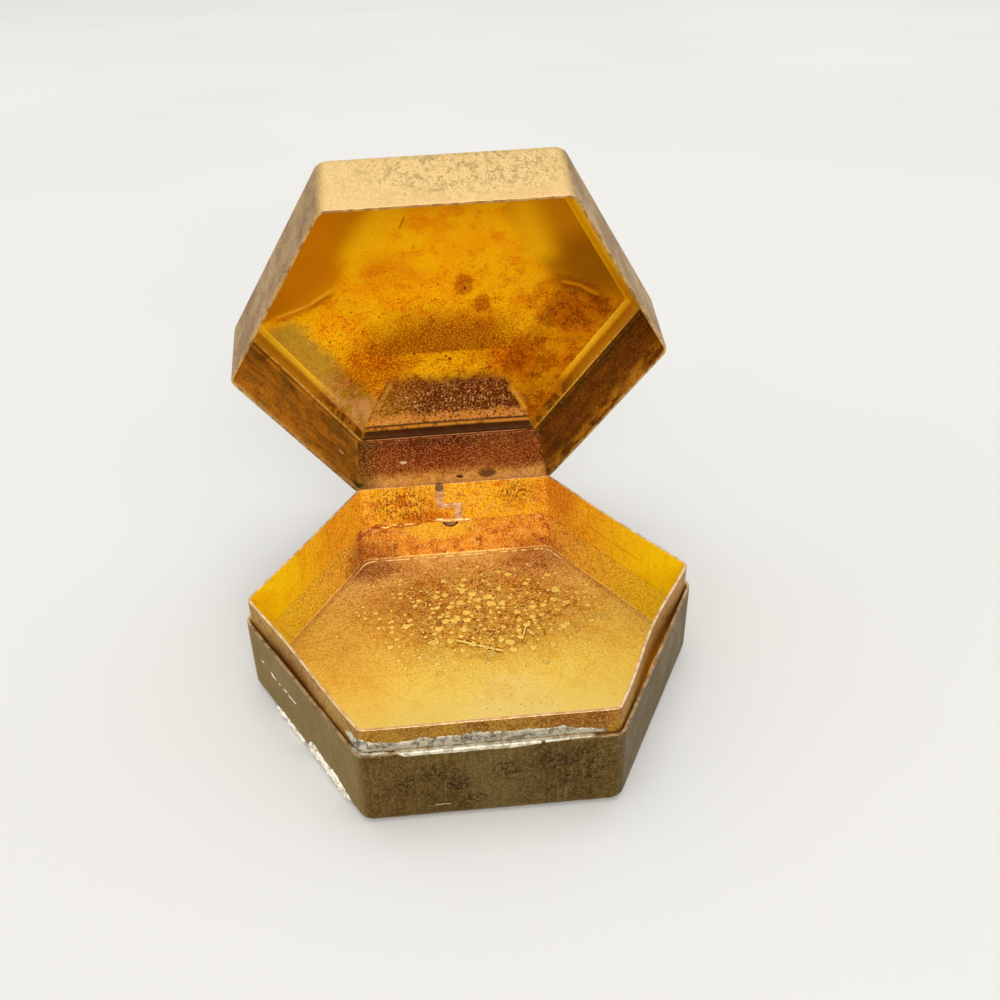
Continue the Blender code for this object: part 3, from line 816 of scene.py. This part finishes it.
def lid_outside():
    """Rubbed tan brass with grey-green mottling, paler and yellower on the front wall as a painted
    reflection of the bright surroundings above.
    """
    f = Finish("lid_tarnished_brass", (170, 138, 92), (8, 4, 0.6), FINE, **TARNISH)
    rubbed = f.noise(0.5, 3, 0.6, (1, 1, 0.08), 2)
    front = f.times(f.sector(FRONT, 1.2), (f.outward(), 32.1, 32.6))
    plain = f.less(front)
    f.paint((134, 98, 60), (f.broad, 0.38, 0.62))
    # Painted reflection: the front wall paler and yellower
    f.paint((222, 189, 128), front)
    f.paint((210, 177, 116), front, (f.broad, 0.40, 0.65), 0.8)
    patch = f.near((4, -33, 23), (16, 8, 7), 0.6, 0.6, 4)
    f.paint((128, 112, 62), f.flecks(1.3, 0.50, 6, 6, 0.06, (1, 1, 0.6)), patch, 0.55)
    f.paint((138, 124, 70), f.flecks(0.5, 0.55, 10, 4), (patch, 0.0, 1.0, 0.2, 0.6))
    f.paint((150, 104, 82), (rubbed, 0.50, 0.72), plain, 0.6)
    f.stain((190, 168, 124), plain, f.flecks(2.2, 0.52, 16, 7, 0.10), 0.8)
    f.stain((150, 124, 84), plain, f.flecks(0.8, 0.58, 26, 5, 0.05), 0.6)
    f.grainy(0.3, 0.3, (206, 178, 130), (250, 216, 150), 49)
    f.paint((230, 172, 132), (f.z, 15.0, 14.3), f.flecks(2.0, 0.44, 20, 4, 0.1), 0.5)
    return f.done((0.36, 0.5), (0.65, 0.5), (rubbed, 0.006), (f.broad, 0.06), spread=0.25)


def solder_finish(name, light, dark, pit=None):
    f = Finish(name, light, (1.2, 5, 0.68), (0.25, 3, 0.65), Specular_IOR_Level=0.35)
    f.paint(dark, (f.broad, 0.44, 0.57))
    f.paint(light, (f.noise(0.9, 4, 0.62, (0.25, 1, 1), 4), 0.50, 0.64), 0.7)
    if pit:
        f.paint((96, 58, 36), f.near(pit, (0.8, 2, 1.0), 0.3, 0.8, 0.8), 0.9)
    f.grainy(0.3, 0.28, (150, 134, 112), (226, 216, 196), 51)
    return f.done((0.32, 0.6), (0.3, 0.45), (f.broad, 0.05))


def chalk_finish():
    f = Finish("pale_flakes", (240, 234, 214), (1.2, 4, 0.7))
    f.paint((150, 138, 106), (f.broad, 0.50, 0.62), 0.8)
    return f.done((0.65, 0.9), None, (f.broad, 0.10))


def drop_finish():
    """Pale yellow drops with a brown outline, which follows the mesh's own height."""
    f = Finish("dried_drops", (252, 236, 120), (1.5, 3, 0.6), (0.25, 3, 0.7),
               Specular_IOR_Level=0.3)
    f.paint((240, 210, 96), (f.broad, 0.42, 0.62))
    f.grainy(0.3, 0.4, (214, 170, 90), (255, 246, 150), 53)
    height = f.node("Attribute", attribute_name="height").outputs["Fac"]
    f.paint((150, 96, 40), (height, 0.040, 0.015))
    return f.done((0.3, 0.45), (0.3, 0.2), depth=0.008)


def hinge_finish(name, light, dark):
    f = Finish(name, light, (2.5, 4, 0.6), (0.35, 3, 0.6), Metallic=1.0)
    drawn = f.noise(0.25, 3, 0.6, (0.08, 1, 1), 1)
    f.paint(dark, (f.broad, 0.3, 0.7))
    f.paint((84, 62, 32), (f.fine, 0.45, 0.75), 0.4)
    return f.done((0.30, 0.46), None, (drawn, 0.006), depth=0.012)


inner_edge = bare_edge("lid_bare_edge", (206, 168, 104), (150, 112, 62))
outer_edge = bare_edge("pan_bare_edge", (200, 168, 126), (136, 106, 74))
collar_edge = bare_edge("collar_bare_edge", (246, 216, 170), (206, 164, 112))
drip_edge = bare_edge("collar_drip_brass", (246, 176, 84), (176, 92, 32))
solder = solder_finish("seam_solder", (244, 200, 150), (206, 146, 96), (-2.9, 31.5, 17.4))
pale_solder = solder_finish("pale_solder", (255, 220, 140), (226, 170, 90))
film = solder_finish("hinge_solder_film", (200, 146, 92), (150, 100, 60))
residue = solder_finish("residue_solder", (176, 166, 142), (98, 88, 68))
corner_solder = solder_finish("corner_solder", (206, 198, 178), (104, 94, 76))
bright_residue = solder_finish("rim_solder", (216, 208, 184), (176, 164, 138))
chalk = chalk_finish()
hinge_brass = hinge_finish("hinge_brass", (190, 150, 88), (140, 104, 56))
pin_brass = hinge_finish("pin_wire", (176, 142, 96), (132, 102, 66))


# Body pan


def pan_wall(spot, out, k, share):
    """Press marks: the walls and floor wander inward by a tenth of a millimetre or so.

    The front wall is pushed in a little more at its top, where solder laps over it.
    """
    low = smooth(0.0, BODY_HEIGHT, spot.z)
    dent = 0.06 * (1 + wander(spot, 11, 3.1)) * (0.4 + 0.6 * low)
    dent += 0.02 * (1.6 + wander(spot, 3.5, 5.3))
    if k == FRONT:
        dent += 0.12 * smooth(9, 12.5, spot.z) * smooth(0.0, 0.15, min(share, 1 - share))
    reach = spot.xy.length
    lift = 0.05 * (1 + wander(spot, 13, 1.2)) * smooth(30, 22, reach)
    return spot - out * dent * smooth(APOTHEM - 4, APOTHEM - 1, reach) + Vector((0, 0, lift))


def make_pan():
    stations = filleted([
        (APOTHEM, BODY_HEIGHT, 0, CORNER_RADIUS),
        (APOTHEM, 0, BOTTOM_EDGE_RADIUS, CORNER_RADIUS),
        (0.6, 0, 0, 0.4),
    ])
    finishes = [pan_outside(), pan_inside(), outer_edge]
    pan = make_object("pan", loft(stations, pan_wall), finishes)
    place = Matrix.Translation((HOLE_X, APOTHEM - SHEET / 2, BODY_HEIGHT - HOLE_DROP))
    bm = bmesh.new()
    bmesh.ops.create_cone(bm, cap_ends=True, segments=48, radius1=HOLE_RADIUS,
                          radius2=HOLE_RADIUS, depth=3 * SHEET,
                          matrix=place @ Matrix.Rotation(math.pi / 2, 4, "X"))
    drill = make_object("pan_drill", bm, [])
    thicken(pan, cutter=drill)
    bpy.data.objects.remove(drill, do_unlink=True)
    attach(pan, "body", "body_brass", "body_shell")


# Reach and height of a drop's loops, from its edge to its middle
DOME = ((1.20, -0.010), (1.02, 0.012), (0.94, 0.050), (0.65, 0.080), (0.30, 0.085))
OPEN_RING = ((1.12, -0.010), (0.98, 0.012), (0.90, 0.045), (0.80, 0.045), (0.70, 0.012),
             (0.62, -0.010))


def add_drop(bm, mark, middle, radius, open_ring):
    """One drop on the floor; mark is the layer that tells the shader its height."""
    loops = []
    for reach, height in (OPEN_RING if open_ring else DOME):
        loop = []
        for out in rays(DROP_SIDES):
            out *= radius
            out.x *= 1.15
            uneven = 1 + 0.62 * wander(out + middle, 0.55, 2.0)
            spot = middle + out * reach * uneven
            spot.z = pan_wall(spot, Vector(), None, 0).z + SHEET + height
            loop.append(bm.verts.new(spot))
            loop[-1][mark] = height
        loops.append(loop)
    if open_ring:
        skin(bm, loops + loops[:1])
    else:
        skin(bm, loops)
        bm.faces.new(loops[-1])
        bm.faces.new(reversed(loops[0]))


def make_drops():
    """Dried drops on the tray floor: ragged low domes and open rings, outlined in brown.

    They lie about a jittered grid, and are larger and denser near its middle.
    """
    middle_x, middle_y, step_x, step_y, jitter = 3.5, 12.0, 1.75, 1.35, 0.8
    bm = bmesh.new()
    mark = bm.verts.layers.float.new("height")
    for i in range(-16, 17):
        for j in range(-12, 13):
            chance = noise.cell_vector((i + 0.5, j + 0.5, 0.5))
            size = noise.cell_vector((i + 0.5, j + 0.5, 3.5))
            x = middle_x + (i + jitter * chance.x) * step_x
            y = middle_y + (j + jitter * chance.y) * step_y
            far = math.hypot((x - middle_x) / 20, (y - 13.5) / 13)
            scarce = chance.z > 0.86 - 0.72 * smooth(0.35, 1.5, far)
            if scarce or y > 28.5 or math.hypot(x, y) > 31:
                continue
            radius = 0.28 + 0.55 * size.x * size.x * smooth(1.7, 0.5, far)
            open_ring = size.y > 0.66 and size.x > 0.35
            radius *= 1.35 if open_ring else 1
            add_drop(bm, mark, Vector((x, y, 0)), radius, open_ring)
    attach(make_object("tray_drops", bm, [drop_finish()]), "body", "body_brass")


# Collar

# How far each side leans inward: evenly, and more at one end than at the other
COLLAR_BOWS = ((0.30, 0), (0, 0), (0.12, 0), (0.16, 0.14), (0.05, 0), (0.78, -0.10))


def collar_wall(spot, out, k, share):
    """The collar's sides lean inward, and wander a little, most at the top."""
    even, skewed = COLLAR_BOWS[k]
    bow = even * math.sin(math.pi * share) ** 2 + skewed * math.sin(2 * math.pi * share)
    high = smooth(COLLAR_BOTTOM, COLLAR_TOP, spot.z)
    return spot - out * (bow + 0.03 * (1 + wander(spot, 8, 7.7)) * (0.3 + 0.7 * high))


def seam_depth(x, z):
    """How far inside the stepped seam a point lies; below zero outside it."""
    def slab(value, low, high):
        return min(value - low, high - value)
    upper = min(slab(x, *SEAM_UPPER), z - SEAM_STEP[0])
    lower = min(slab(x, *SEAM_LOWER), SEAM_STEP[1] - z)
    across = min(slab(x, SEAM_UPPER[0], SEAM_LOWER[1]), slab(z, *SEAM_STEP))
    return max(upper, lower, across)


def collar_outline():
    """The collar's hexagon, with extra columns on the rear side where the seam's edges fall."""
    corner = CORNER_RADIUS - SHEET - COLLAR_GAP
    outline = hexagon(COLLAR_APOTHEM, corner)
    half = (COLLAR_APOTHEM - corner) / math.cos(HALF_TURN) / 2
    columns = [half * (1 - 2 * s / SIDE) for s in range(1, SIDE)]
    for edge in SEAM_UPPER + SEAM_LOWER:
        columns = [x for x in columns if abs(x - edge) > 0.3] + [edge]
    rear = [(Vector((x, COLLAR_APOTHEM, 0)), -FORWARD, REAR, (half - x) / (2 * half))
            for x in sorted(columns, reverse=True)]
    start = 2 * (ARC + 1) + SIDE - 1
    return outline[:start] + rear + outline[start + SIDE - 1:]


def make_collar():
    """A bent strip with a wavy lower edge; the faces over the stepped seam are left out."""
    levels = [COLLAR_BOTTOM + (SEAM_STEP[0] - COLLAR_BOTTOM) * s / 4 for s in range(4)]
    levels += [SEAM_STEP[0], sum(SEAM_STEP) / 2, SEAM_STEP[1]]
    levels += [SEAM_STEP[1] + (COLLAR_TOP - SEAM_STEP[1]) * s / 6 for s in range(1, 7)]
    outline = collar_outline()
    bm = bmesh.new()
    grid = []
    for point, out, k, share in outline:
        wave = COLLAR_EDGE_WAVE * (wander(point, 4, 2.2) + 0.4 * wander(point, 1.3, 9.2))
        column = []
        for z in levels:
            low = smooth(SEAM_STEP[0], COLLAR_BOTTOM, z)
            spot = Vector((point.x, point.y, z + wave * low))
            column.append(bm.verts.new(collar_wall(spot, out, k, share)))
        grid.append(column)
    for i in range(len(grid)):
        middle = (outline[i - 1][0] + outline[i][0]) / 2
        for j, (low, high) in enumerate(zip(levels, levels[1:])):
            if middle.y < 0 or seam_depth(middle.x, (low + high) / 2) <= 0:
                bm.faces.new((grid[i - 1][j], grid[i][j], grid[i][j + 1], grid[i - 1][j + 1]))
    collar = make_object("collar_strip", bm, [collar_outside(), collar_inside(), collar_edge])
    thicken(collar)
    attach(collar, "body", "collar_brass", "collar")


def make_seam():
    """Solder that fills the stepped seam and stands a little proud of the collar inside."""
    cell, columns, rows = 0.11, 52, 78
    left, edge = -4.2, 0.02
    # The lumps take their noise from far off, so that they don't follow the outline's
    far_off = 1000

    def spot(key):
        return left + key[0] * cell, min(COLLAR_BOTTOM + edge + key[1] * cell, COLLAR_TOP - edge)

    def deep(key):
        x, z = spot(key)
        return seam_depth(x, z) + 0.10 * (1 + wander((x, 0, z), 1.0, 4.0))

    def front(key):
        x, z = spot(key)
        lump = 0.10 + 0.07 * wander((x, far_off, z), 0.9, 6.0)
        return x, COLLAR_APOTHEM - SHEET - 0.01 - lump * smooth(0.0, 0.35, deep(key)), z

    def back(key):
        x, z = spot(key)
        return x, COLLAR_APOTHEM + 0.06 * smooth(0, 0.3, deep(key)), z

    cells = {(i, j) for i in range(columns) for j in range(rows)
             if min(deep(key) for key in corners_of(i, j)) > 0}
    seam = make_object("seam_fill", shell(cells, front, back), [solder])
    attach(seam, "body", "solder", "collar_seam_solder")


def make_collar_drips():
    """Solder squeezed out along the collar's lower edge, by the seam and to its left."""
    inner = COLLAR_APOTHEM - SHEET
    path = []
    for x in (-17.0, -15.5, -14.0, -12.5, -11.0, -9.5, -8.2, -7.0):
        dip = 0.28 * math.sin(x * 1.9) + 0.16 * math.sin(x * 4.1)
        path.append((x, inner + 0.10, COLLAR_BOTTOM + dip - 0.1))
    bead("collar_drip_left", "body", "collar_brass", drip_edge, path, 0.40, 0.7, 1.4)
    drips = ((-4.4, 0.30), (-3.4, 0.42), (-2.4, 0.24), (-1.4, 0.10), (0.2, 0.02), (1.6, 0.0),
             (3.4, 0.02))
    path = [(x, inner + 0.06, COLLAR_BOTTOM + z) for x, z in drips]
    bead("collar_drip_seam", "body", "solder", pale_solder, path, 0.42, 0.5, 2.6)


# Residue on the front of the collar and rim


def front_point(x, z, height, apothem=COLLAR_APOTHEM):
    """A point on the rounded front of a hexagonal wall, x running round its corner."""
    corner = CORNER_RADIUS - (APOTHEM - apothem)
    half = (apothem - corner) * math.tan(HALF_TURN)
    over = abs(x) - half
    if over <= 0:
        return Vector((x, -apothem - height, z))
    side = 1 if x > 0 else -1
    angle = min(over / corner, 2 * HALF_TURN)
    spot = Vector((side * half, corner - apothem, z))
    spot += ray(side * angle - math.pi / 2, corner + height)
    return spot + ray(side * angle, side * (over - angle * corner))


def make_smear():
    """Grey solder smeared along the front of the collar and round its left corner."""
    def smear(x, z):
        top = 15.80 + 0.40 * wander((x, 0, 0), 2.6, 3.3) + 0.3 * wander((x, 0, 0), 0.8, 8.3)
        top -= smooth(10, 16.5, x)
        inside = min((x + 21.4) * 0.5, (16.6 - x) * 0.5, top - z, z - 13.9)
        inside += 0.20 * wander((x, 0, z), 0.8, 1.1)
        body = 0.16 + 0.10 * wander((x, 0, z), 1.3, 5.1) + 0.05 * wander((x, 0, z), 0.4, 3.1)
        return -0.04 + body * smooth(0, 0.35, inside) + 0.03 * smooth(0, 0.1, inside)

    def on_collar(x, z, height):
        spot = front_point(x, z, height)
        return spot.lerp(collar_wall(spot, FORWARD, FRONT, 0.5), 0.6)

    crust("collar_residue", "solder", residue, (-21.8, 17.0), (13.8, 17.4), 0.16, on_collar, smear)


def make_rim_strip():
    """A bright strip that starts on the collar, bridges the gap and laps over the rim."""
    flat = COLLAR_GAP + SHEET
    turn = 0.2
    top = BODY_HEIGHT + 0.02

    def over_rim(x, run, height):
        if run < flat:
            spot = front_point(x, top + height, 0, COLLAR_APOTHEM + run)
        else:
            angle = min((run - flat) / turn, math.pi / 2)
            down = max(0.0, run - flat - turn * math.pi / 2)
            apothem = APOTHEM - turn + (turn + height) * math.sin(angle)
            z = top - turn + (turn + height) * math.cos(angle) - down
            spot = front_point(x, z, 0, apothem)
        wall = Vector((spot.x, -APOTHEM, min(spot.z, BODY_HEIGHT)))
        dent = pan_wall(wall, FORWARD, FRONT, 0.5).y + APOTHEM
        spot.y = max(spot.y + dent * smooth(COLLAR_GAP, flat, run), 0.005 - APOTHEM)
        return spot

    def strip(x, run):
        left, right = x + 13.8, 15.0 - x
        low = 1.75 + 0.15 * wander((x, 0, 0), 3.5, 6.3)
        low -= 0.6 * smooth(2, 14, x) + 0.9 * smooth(1.6, 0.0, left)
        inside = min(left * 0.4, right * 0.3, low - run, run + 0.4)
        inside += 0.07 * wander((x, run, 0), 0.9, 2.1)
        chip = math.hypot((x - 7.4) / 0.55, run - 1.3) + 0.3 * wander((x, run, 0), 0.6, 3.3)
        lump = 0.12 + 0.02 * wander((x * 0.15, run, 0), 0.4, 7.1)
        lump += 0.03 * wander((x, run, 0), 1.9, 1.1)
        return -0.04 + lump * smooth(0, 0.22, inside) * smooth(0.35, 0.6, chip)

    crust("rim_residue", "solder", bright_residue, (-14.4, 15.4), (-0.1, 2.5), 0.12,
          over_rim, strip)


def make_corner_lump():
    """A lump round the collar's left front corner, and the solder in the gap beside it."""
    def blob(x, z):
        away = math.hypot((x + 19.2) / 3.2, (z - 15.0) / 1.5)
        ragged = away + 0.40 * wander((x, 0, z), 1.1, 9.4)
        uneven = 1 + 0.5 * wander((x, 0, z), 0.6, 4.4)
        return CRUST_EDGE + 0.21 * smooth(1.05, 0.35, ragged) * uneven

    crust("corner_residue", "solder", corner_solder, (-23.6, -15.2), (13.5, 17.2), 0.13,
          front_point, blob)
    path = [front_point(x, BODY_HEIGHT - 0.1, 0.18)
            for x in (-21.0, -19.6, -18.2, -16.8, -15.4, -14.2)]
    bead("gap_residue", "body", "solder", residue, path, 0.30, 0.6, 8.5)


def make_flakes():
    """Pale flaking crust low on the front left wall, and a broken line of it above."""
    out, along = ray(7 * HALF_TURN), ray(10 * HALF_TURN)

    def on_wall(u, z, height):
        drop = max(0.0, 1 - z / BOTTOM_EDGE_RADIUS)
        sink = BOTTOM_EDGE_RADIUS * (1 - math.sqrt(1 - drop * drop))
        spot = out * (APOTHEM - sink) + along * u + Vector((0, 0, z))
        return pan_wall(spot, out, FRONT_LEFT, 0.5) + out * height

    def low_crust(u, z):
        first = smooth(-12.5, -8.0, u) * smooth(0.6, -1.5, u)
        second = smooth(1.2, 2.6, u) * smooth(15.8, 10.0, u)
        middle = 0.9 if u < 0.9 else 1.9 - 0.06 * (u - 4)
        inside = 0.8 * first + 1.5 * second - abs(z - middle) - 0.25
        inside += 0.45 * (wander((u, 0, z), 1.3, 3.9) + wander((u, 0, z), 0.45, 6.6))
        curl = 0.34 + 0.30 * wander((u, 0, z), 0.9, 2.7) + 0.3 * smooth(1.2, 0.3, z)
        return CRUST_EDGE + curl * smooth(0.02, 0.18, inside)

    def streak(u, z):
        middle = 8.7 - 0.05 * (u + 16) + 0.8 * wander((u, 0, 0), 2.6, 2.5)
        middle += 0.3 * wander((u, 0, 0), 0.5, 1.9)
        ends = smooth(-16.2, -14.5, u) * smooth(1.5, -3.0, u)
        width = (0.08 + 0.42 * wander((u, 0, 0), 1.5, 5.9)) * ends
        return CRUST_EDGE + 0.14 * smooth(0.0, 0.08, width - abs(z - middle))

    crust("flaking_low", "body_brass", chalk, (-13, 16), (0.2, 5.0), 0.12, on_wall, low_crust)
    crust("flaking_line", "body_brass", chalk, (-16.2, 2), (7.0, 9.8), 0.1, on_wall, streak)


# Lid


def lid_wall(spot, out, k, share):
    """Soft press marks, all inward, so that the lid keeps its size."""
    reach = spot.xy.length
    dent = smooth(APOTHEM - 3, APOTHEM - 1, reach) * 0.05 * (1.25 + wander(spot, 12, 8.8))
    dome = 1 - smooth(APOTHEM - 6, APOTHEM - 3, reach)
    sag = dome * (0.09 * (1 + wander(spot, 9, 4.2)) + 0.03 * (1 + wander(spot, 3.2, 6.1)))
    return spot - out * dent - Vector((0, 0, sag))


def make_lid():
    rim = BODY_HEIGHT + RIM_GAP
    shoulder = rim + LID_WALL_HEIGHT
    valley = APOTHEM - BORDER_WIDTH
    ridge = valley - STEP_WIDTH
    top = shoulder - BORDER_DIP + STEP_RISE + FACET_RISE
    stations = filleted([
        (APOTHEM, rim, 0, CORNER_RADIUS),
        (APOTHEM, shoulder, SHOULDER_RADIUS, CORNER_RADIUS),
        (valley, shoulder - BORDER_DIP, 0.2, 1.0),
        (ridge, shoulder - BORDER_DIP + STEP_RISE, RIDGE_RADIUS, 1.2),
        (ridge - FACET_WIDTH, top, PLATEAU_EDGE_RADIUS, 8.0),
        (0.6, top, 0, 0.4),
    ])
    finishes = [lid_outside(), lid_inside(), inner_edge]
    lid = make_object("lid_pressing", loft(stations, lid_wall), finishes)
    thicken(lid)
    attach(lid, "lid", "lid_brass", "lid_shell")


# Hinge


def leaf_profile(height, side):
    """The flat leaf, from its end to the knuckle, and then the rolled knuckle."""
    middle = KNUCKLE_BORE + SHEET / 2
    tail = math.acos(-(KNUCKLE_BORE - ROLL_END_GAP) / KNUCKLE_RADIUS)
    steps = 36
    points = [(-middle, side * height * (1 - s / 6)) for s in range(6)]
    for step in range(steps + 1):
        roll = ray(math.pi - step / steps * (math.pi + tail), middle)
        points.append((roll.x, -side * roll.y))
    return points


def make_leaf(name, body, node, height, side, gaps):
    """A leaf and its rolled knuckles; gaps are the spans of X with no knuckle."""
    edges = sorted({-LEAF_WIDTH / 2, LEAF_WIDTH / 2, *[x for gap in gaps for x in gap]})
    columns = [point.x for point in divided([Vector((x, 0)) for x in edges], STRAIGHT_STEP)]
    line = leaf_profile(height, side)
    clear = KNUCKLE_RADIUS + KNUCKLE_GAP
    cut_at = next(i for i, (y, z) in enumerate(line) if side * z < clear + 0.1)
    line[cut_at] = (line[cut_at][0], side * clear)
    bm = bmesh.new()
    grid = [[bm.verts.new((x, HINGE.y + y, HINGE.z + z)) for y, z in line] for x in columns]
    for i, middle in enumerate((a + b) / 2 for a, b in zip(columns, columns[1:])):
        bare = any(low < middle < high for low, high in gaps)
        for j in range(cut_at if bare else len(line) - 1):
            bm.faces.new((grid[i][j], grid[i + 1][j], grid[i + 1][j + 1], grid[i][j + 1]))
    for corner in (grid[0][0], grid[-1][0]):
        corner.co.x *= 1 - 2 * LEAF_BLUNT / LEAF_WIDTH
        corner.co.z -= side * LEAF_BLUNT
    leaf = make_object(name, bm, [hinge_brass], solid=False)
    thicken(leaf, offset=0.0, rounding=LEAF_ROUND)
    attach(leaf, body, "hinge_brass", node)


def make_pin():
    half = LEAF_WIDTH / 2 + PIN_CLEARANCE
    profile = []
    for step in range(9):
        turn = ray(math.pi / 2 * step / 8)
        profile.append((-half - PIN_HEAD_LENGTH * turn.x, PIN_HEAD_RADIUS * turn.y))
    profile += [(-half, PIN_RADIUS * 1.15), (-half + 0.05, PIN_RADIUS)]
    profile += [(-x, r) for x, r in reversed(profile)]
    bm = bmesh.new()
    rings = []
    for x, radius in profile:
        ring = []
        for out in rays(PIN_SIDES):
            uneven = 1 - 0.02 * (1 + wander((x, *out.xy), 1.5, 2.0))
            y, z = out.xy * radius * uneven
            ring.append(bm.verts.new((x, HINGE.y + y, HINGE.z + z)))
        rings.append(ring)
    skin(bm, rings)
    bmesh.ops.remove_doubles(bm, verts=bm.verts, dist=0.002)
    pin = make_object("pin_wire", bm, [pin_brass])
    attach(pin, "body", "pin_wire", "hinge_pin")


def make_hinge():
    half, knuckle = LEAF_WIDTH / 2, LID_KNUCKLE_WIDTH / 2
    gap = knuckle + KNUCKLE_GAP
    make_leaf("leaf_on_pan", "body", "hinge_body_leaf", BODY_LEAF_HEIGHT, -1, [(-gap, gap)])
    make_leaf("leaf_on_lid", "lid", "hinge_lid_leaf", LID_LEAF_HEIGHT, 1,
              [(-half, -knuckle), (knuckle, half)])
    make_pin()
    y = APOTHEM + LEAF_GAP * 0.7
    for name, body, top, end, seed in (
            ("pan_leaf_solder", "body", 10.6, HINGE.z - BODY_LEAF_HEIGHT, 5.5),
            ("lid_leaf_solder", "lid", 15.6, HINGE.z + LID_LEAF_HEIGHT, 7.5)):
        blunt = math.copysign(LEAF_BLUNT, top - end)
        path = [(-half, y, top), (-half, y, end + blunt), (-half + LEAF_BLUNT, y, end)]
        path += [(-x, y, z) for x, y, z in reversed(path)]
        bead(name, body, "solder", residue, path, 0.42, 0.4, seed)

    def lumps(x, z):
        inside = math.hypot(x - HOLE_X, z - BODY_HEIGHT + HOLE_DROP) < 2.4
        return (0.10 + 0.07 * wander((x, 0, z), 0.9, 6.4)) * (1 if inside else -1)

    # The film of solder behind the pan's hole
    crust("hinge_solder_film", "solder", film, (-3.6, 1.6), (6.6, 11.8), 0.2,
          lambda x, z, h: Vector((x, APOTHEM + 0.16 - h, z)), lumps)


make_pan()
make_drops()
make_collar()
make_seam()
make_collar_drips()
make_smear()
make_rim_strip()
make_corner_lump()
make_flakes()
make_lid()
make_hinge()


# Stage, light and camera, of which the last two are in metres

FLOOR_HALF = 1600
FLOOR_DROP = 0.02
LIT_POINT = Vector((0, 0, 0.03))


def make_floor():
    bm = bmesh.new()
    bmesh.ops.create_grid(bm, x_segments=2, y_segments=2, size=FLOOR_HALF)
    f = Finish("pale_floor", (212, 211, 208), (250, 3, 0.5), Specular_IOR_Level=0.0)
    f.paint((216, 215, 212), (f.broad, 0.3, 0.7))
    material = f.done((0.8, 0.9), None, (f.broad, 0.01))
    floor = make_object("floor", bm, [material], solid=False)
    to_metres(floor)
    floor.location.z = -FLOOR_DROP * MM


def add_object(name, data, matrix):
    made = bpy.data.objects.new(name, data)
    made.matrix_world = matrix
    bpy.context.scene.collection.objects.link(made)
    return made


def make_light(name, place, size, watts):
    lamp = bpy.data.lights.new(name, "AREA")
    configure(lamp, shape="RECTANGLE", size=size[0], size_y=size[1], energy=watts)
    look = LIT_POINT - Vector(place)
    turn = look.to_track_quat("-Z", "Y").to_matrix().to_4x4()
    add_object(name, lamp, Matrix.Translation(place) @ turn)


def make_world():
    """An even pale surround, a little weaker as a light than as it is seen."""
    world = bpy.data.worlds.new("studio")
    world.use_nodes = True
    nodes = Nodes(world.node_tree)
    background = world.node_tree.nodes["Background"]
    path = nodes.node("LightPath").outputs
    seen = nodes.most(*[path[f"Is {kind} Ray"] for kind in ("Camera", "Glossy", "Transmission")])
    nodes.feed(background, "Color", (0.84, 0.835, 0.82, 1))
    nodes.feed(background, "Strength", nodes.math("MULTIPLY_ADD", seen, 0.08, 0.92))
    bpy.context.scene.world = world


def make_camera():
    """The photo's view, as solved from the hexagon's corners in it."""
    yaw, lift, roll = math.radians(-2.81), math.radians(32.52), math.radians(-2.89)
    frame_width = 36
    back = Matrix.Rotation(yaw, 3, "Z") @ Vector((0, -math.cos(lift), math.sin(lift)))
    right = (-back).cross(Vector((0, 0, 1))).normalized()
    up = right.cross(-back)
    across = math.cos(roll) * right + math.sin(roll) * up
    upright = math.cos(roll) * up - math.sin(roll) * right
    matrix = Matrix((across, upright, back)).transposed().to_4x4()
    place = -0.1040 * across + 0.7587 * upright + 4.5642 * back
    matrix.translation = place * ACROSS_CORNERS / 2 * MM
    lens = configure(bpy.data.cameras.new("camera"), sensor_width=frame_width,
                     lens=0.9820 * frame_width, shift_x=0.05, clip_start=0.01)
    bpy.context.scene.camera = add_object("camera", lens, matrix)


make_floor()
make_light("top", (0.0, 0.2, 3.2), (2.4, 2.4), 36)
make_light("front", (0.22, -6.82, 4.03), (5.3, 3.5), 339)
make_world()
make_camera()
bpy.context.scene.view_settings.view_transform = "Standard"

bpy.context.view_layer.update()
